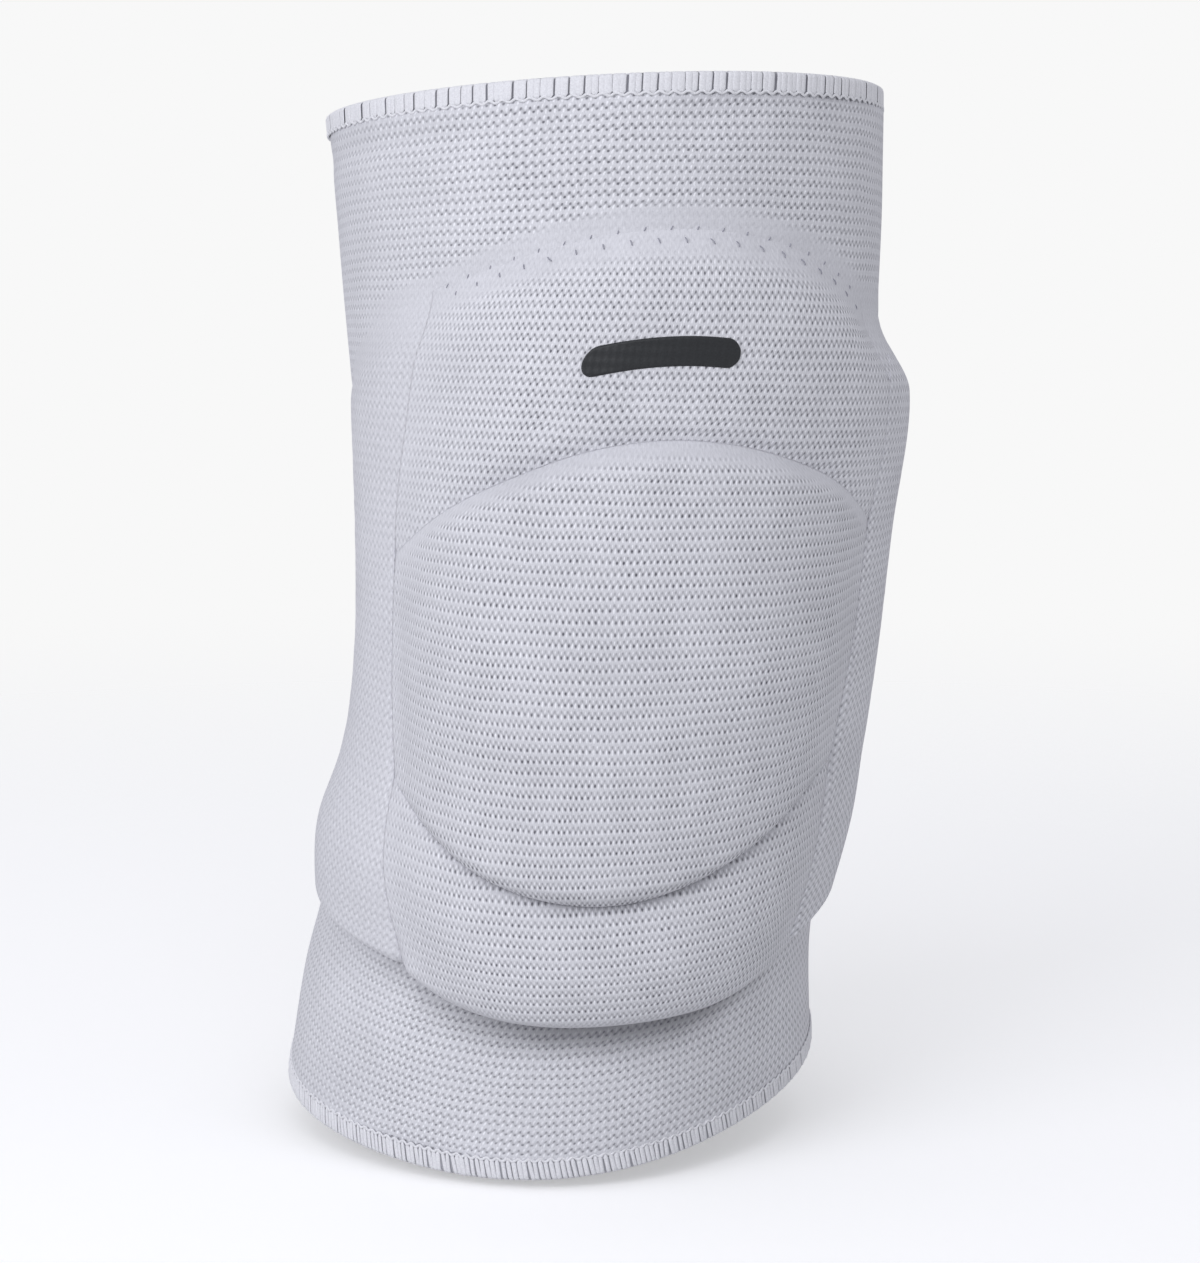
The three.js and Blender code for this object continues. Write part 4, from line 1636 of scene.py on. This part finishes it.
@dataclass(frozen=True)
class Studio:
    """The camera at the photograph's angle, soft lights and the pale floor. Lengths are metres."""

    eye: tuple[float, float, float] = (0.0, -0.8889, 0.1492)
    aim: tuple[float, float, float] = (0.0, 0.0, 0.0103)
    lens: float = 111.1
    floor_radius: float = 0.9
    floor_fade: tuple[float, float] = (0.25, 0.85)
    floor_colour: str = "#e6e6e6"
    floor_glow: float = 0.355
    paper: str = "#f8f8f8"
    light: str = "#f7f8ff"
    ambient: float = 0.575
    lamp_distance: float = 1.7
    lamp_size: float = 1.0

    def camera(self) -> None:
        """Makes the scene's camera."""
        data = bpy.data.cameras.new("camera")
        data.lens = self.lens
        data.sensor_width = 36.0
        data.clip_start = 0.01
        bpy.context.scene.camera = aimed("camera", data, Vector(self.eye), Vector(self.aim))

    def lamp(self, name: str, azimuth: float, elevation: float, power: float) -> None:
        """Makes a square area light that looks at the object's middle.

        Args:
            name: its name.
            azimuth: degrees from the front towards +X.
            elevation: degrees over the horizon.
            power: watts.
        """
        data = bpy.data.lights.new(name, "AREA")
        data.energy = power
        data.size = self.lamp_size
        data.color = srgb(self.light)[:3]
        a, e = math.radians(azimuth), math.radians(elevation)
        way = Vector((math.sin(a) * math.cos(e), -math.cos(a) * math.cos(e), math.sin(e)))
        aimed(name, data, way * self.lamp_distance, Vector())

    def surroundings(self) -> None:
        """The even soft light of a white studio, which the camera sees as the paper's colour."""
        world = bpy.data.worlds.new("white_studio")
        bpy.context.scene.world = world
        world.use_nodes = True
        world.node_tree.nodes.clear()
        node = partial(add_node, world.node_tree)
        soft = node("Background", {"Color": srgb(self.light), "Strength": self.ambient})
        seen = node("Background", {"Color": srgb(self.paper), "Strength": 1.0})
        both = node("MixShader", node("LightPath", output="Is Camera Ray"), soft, seen)
        node("OutputWorld", both, output=None)

    def floor(self, level: float) -> None:
        """The pale floor: a disc of matt white paper that fades into the surroundings.

        Args:
            level: its height in metres.
        """
        rings = np.linspace(0.002, 1, 24)[:, None] * self.floor_radius
        angle = np.linspace(0, 2 * np.pi, 64, endpoint=False)
        x, y = rings * np.sin(angle), -rings * np.cos(angle)
        points = np.stack([x, y, np.full_like(x, level)], -1)
        quads, _ = grid_quads(len(rings), len(angle), False, True)
        floor = MeshParts().add(points, quads[:, ::-1], np.arange(len(angle))[None]).build("floor")
        material, node = new_material("matt_paper_floor")
        where = node("TexCoord", output="Object")
        level_only = node("VectorMath", where, (1, 1, 0), operation="MULTIPLY")
        away = node("VectorMath", level_only, output="Value", operation="LENGTH")
        faded = node("MapRange", away, *self.floor_fade, interpolation_type="SMOOTHSTEP")
        ray = node("LightPath", output="Is Camera Ray")
        glow = node("Math", ray, self.floor_glow, operation="MULTIPLY")
        paper = node("BsdfPrincipled", {
            "Base Color": srgb(self.floor_colour), "Roughness": 0.95, "Specular IOR Level": 0.0,
            "Emission Color": srgb("#ffffff"), "Emission Strength": glow,
        })
        both = node("MixShader", faded, paper, node("BsdfTransparent"))
        node("OutputMaterial", both, output=None)
        floor.data.materials.append(material)
        floor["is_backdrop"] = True


def main() -> None:
    """Builds the studio and every piece."""
    logging.basicConfig(level=logging.INFO, format="%(name)s %(message)s")
    low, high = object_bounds()
    studio = Studio()
    studio.camera()
    studio.surroundings()
    studio.lamp("key", -36, 21, 10.4)
    studio.lamp("upper", -4, 48, 4.9)
    studio.floor(low.z - 0.0008)
    bpy.context.scene.view_settings.view_transform = "Standard"

    cuff = KnitFinish(
        "polyamide_cuff_knit", 2.11, CUFF_MARKS, 0.84, stroke=0.18, lean=-0.35
    ).material()
    upper = KnitFinish("polyamide_upper_knit", 1.72, UPPER_MARKS, 1.15, lean=-0.15).material()
    knee = KnitFinish(
        "polyamide_knee_knit", 1.42, KNEE_MARKS, 1.05, stroke=0.14, base=0.34
    ).material()
    thread = ThreadFinish().material()
    # a paler painted shade for the calf rim's rolled knit
    dense_thread = ThreadFinish("polyester_dense_overlock_thread", under="#acacb2").material()
    seam_thread = ThreadFinish("polyester_seam_thread", "#dedee4").material()
    # the zigzag thread is painted grey as the shade of its sewing holes; the real thread is white
    zigzag_painted_shade = ThreadFinish("zigzag_thread_with_painted_hole_shade", "#9c9ca6").material()

    KnittedTube().build(cuff)
    upper_pad = FrontPad(
        "upper_cover", "upper_pad", KNEE_TOP, THIGH_ARC, 9.5,
        Curve(
            (0.0, 0.3, 0.55, 0.7, 0.8, 0.9, 0.97, 1.0), (0.9, 1.0, 0.97, 0.82, 0.6, 0.27, 0.04, -0.02)
        ),
        EdgeFold(7.6, 4.5, soft=True), None, plain_high=(5.0, 9.0),
    )
    upper_face = upper_pad.build(upper)
    FrontPad(
        "knee_cover", "knee_pad", KNEE_BOTTOM, KNEE_TOP, 19,
        Curve((0.0, 0.15, 0.4, 0.65, 0.85, 1.0), (0.76, 0.88, 0.99, 0.98, 0.88, 0.76)),
        EdgeFold(9.2, 4.0), EdgeFold(7.6, 6.5, soft=True), plain_high=(2.5, 5.0), rows=120,
        shaded=0.35,
    ).build(knee)
    FrontPad(
        "lower_cover", "lower_pad", CALF_ARC, KNEE_BOTTOM, 14,
        Curve((0.0, 0.12, 0.25, 0.45, 0.65, 0.85, 1.0), (0.5, 0.74, 0.9, 1.0, 0.98, 0.9, 0.8)),
        EdgeFold(-0.1, 3.6, joined=False), EdgeFold(9.2, 2.6), plain_low=(2.5, 4.5), rows=84,
        shaded=0.6,
    ).build(knee)
    SidePad("left_side_cover", "left_side_pad", Side.LEFT, faint=0.8).build(upper)
    SidePad("right_side_cover", "right_side_pad", Side.RIGHT).build(upper)
    RimStitches(
        "thigh_rim_stitches", "top_overlock", rim=1.0, away=1, height=4.2, pairs=128, slant=0.35,
        thread_width=1.7,
    ).build(thread)
    RimStitches(
        "calf_rim_stitches", "bottom_overlock", rim=0.0, away=-1, height=4.4, pairs=158, slant=1.1,
        thread_width=1.06, pair_spread=0.245, uneven=0.05, thread_height=0.5, seed=9,
    ).build(dense_thread)
    SeamStitches("left_seam_stitches", Side.LEFT, 0.2, 0.56, pitch=3.9, stitch=1.2).build(seam_thread)
    SeamStitches("right_seam_stitches", Side.RIGHT, 0.19, 0.75).build(seam_thread)
    ArcStitches("arc_zigzag", upper_pad).build(zigzag_painted_shade)
    PrintBar().build(FilmFinish().material(), upper_pad, upper_face)

    LOG.info("boxes written")


if __name__ == "__main__":
    main()
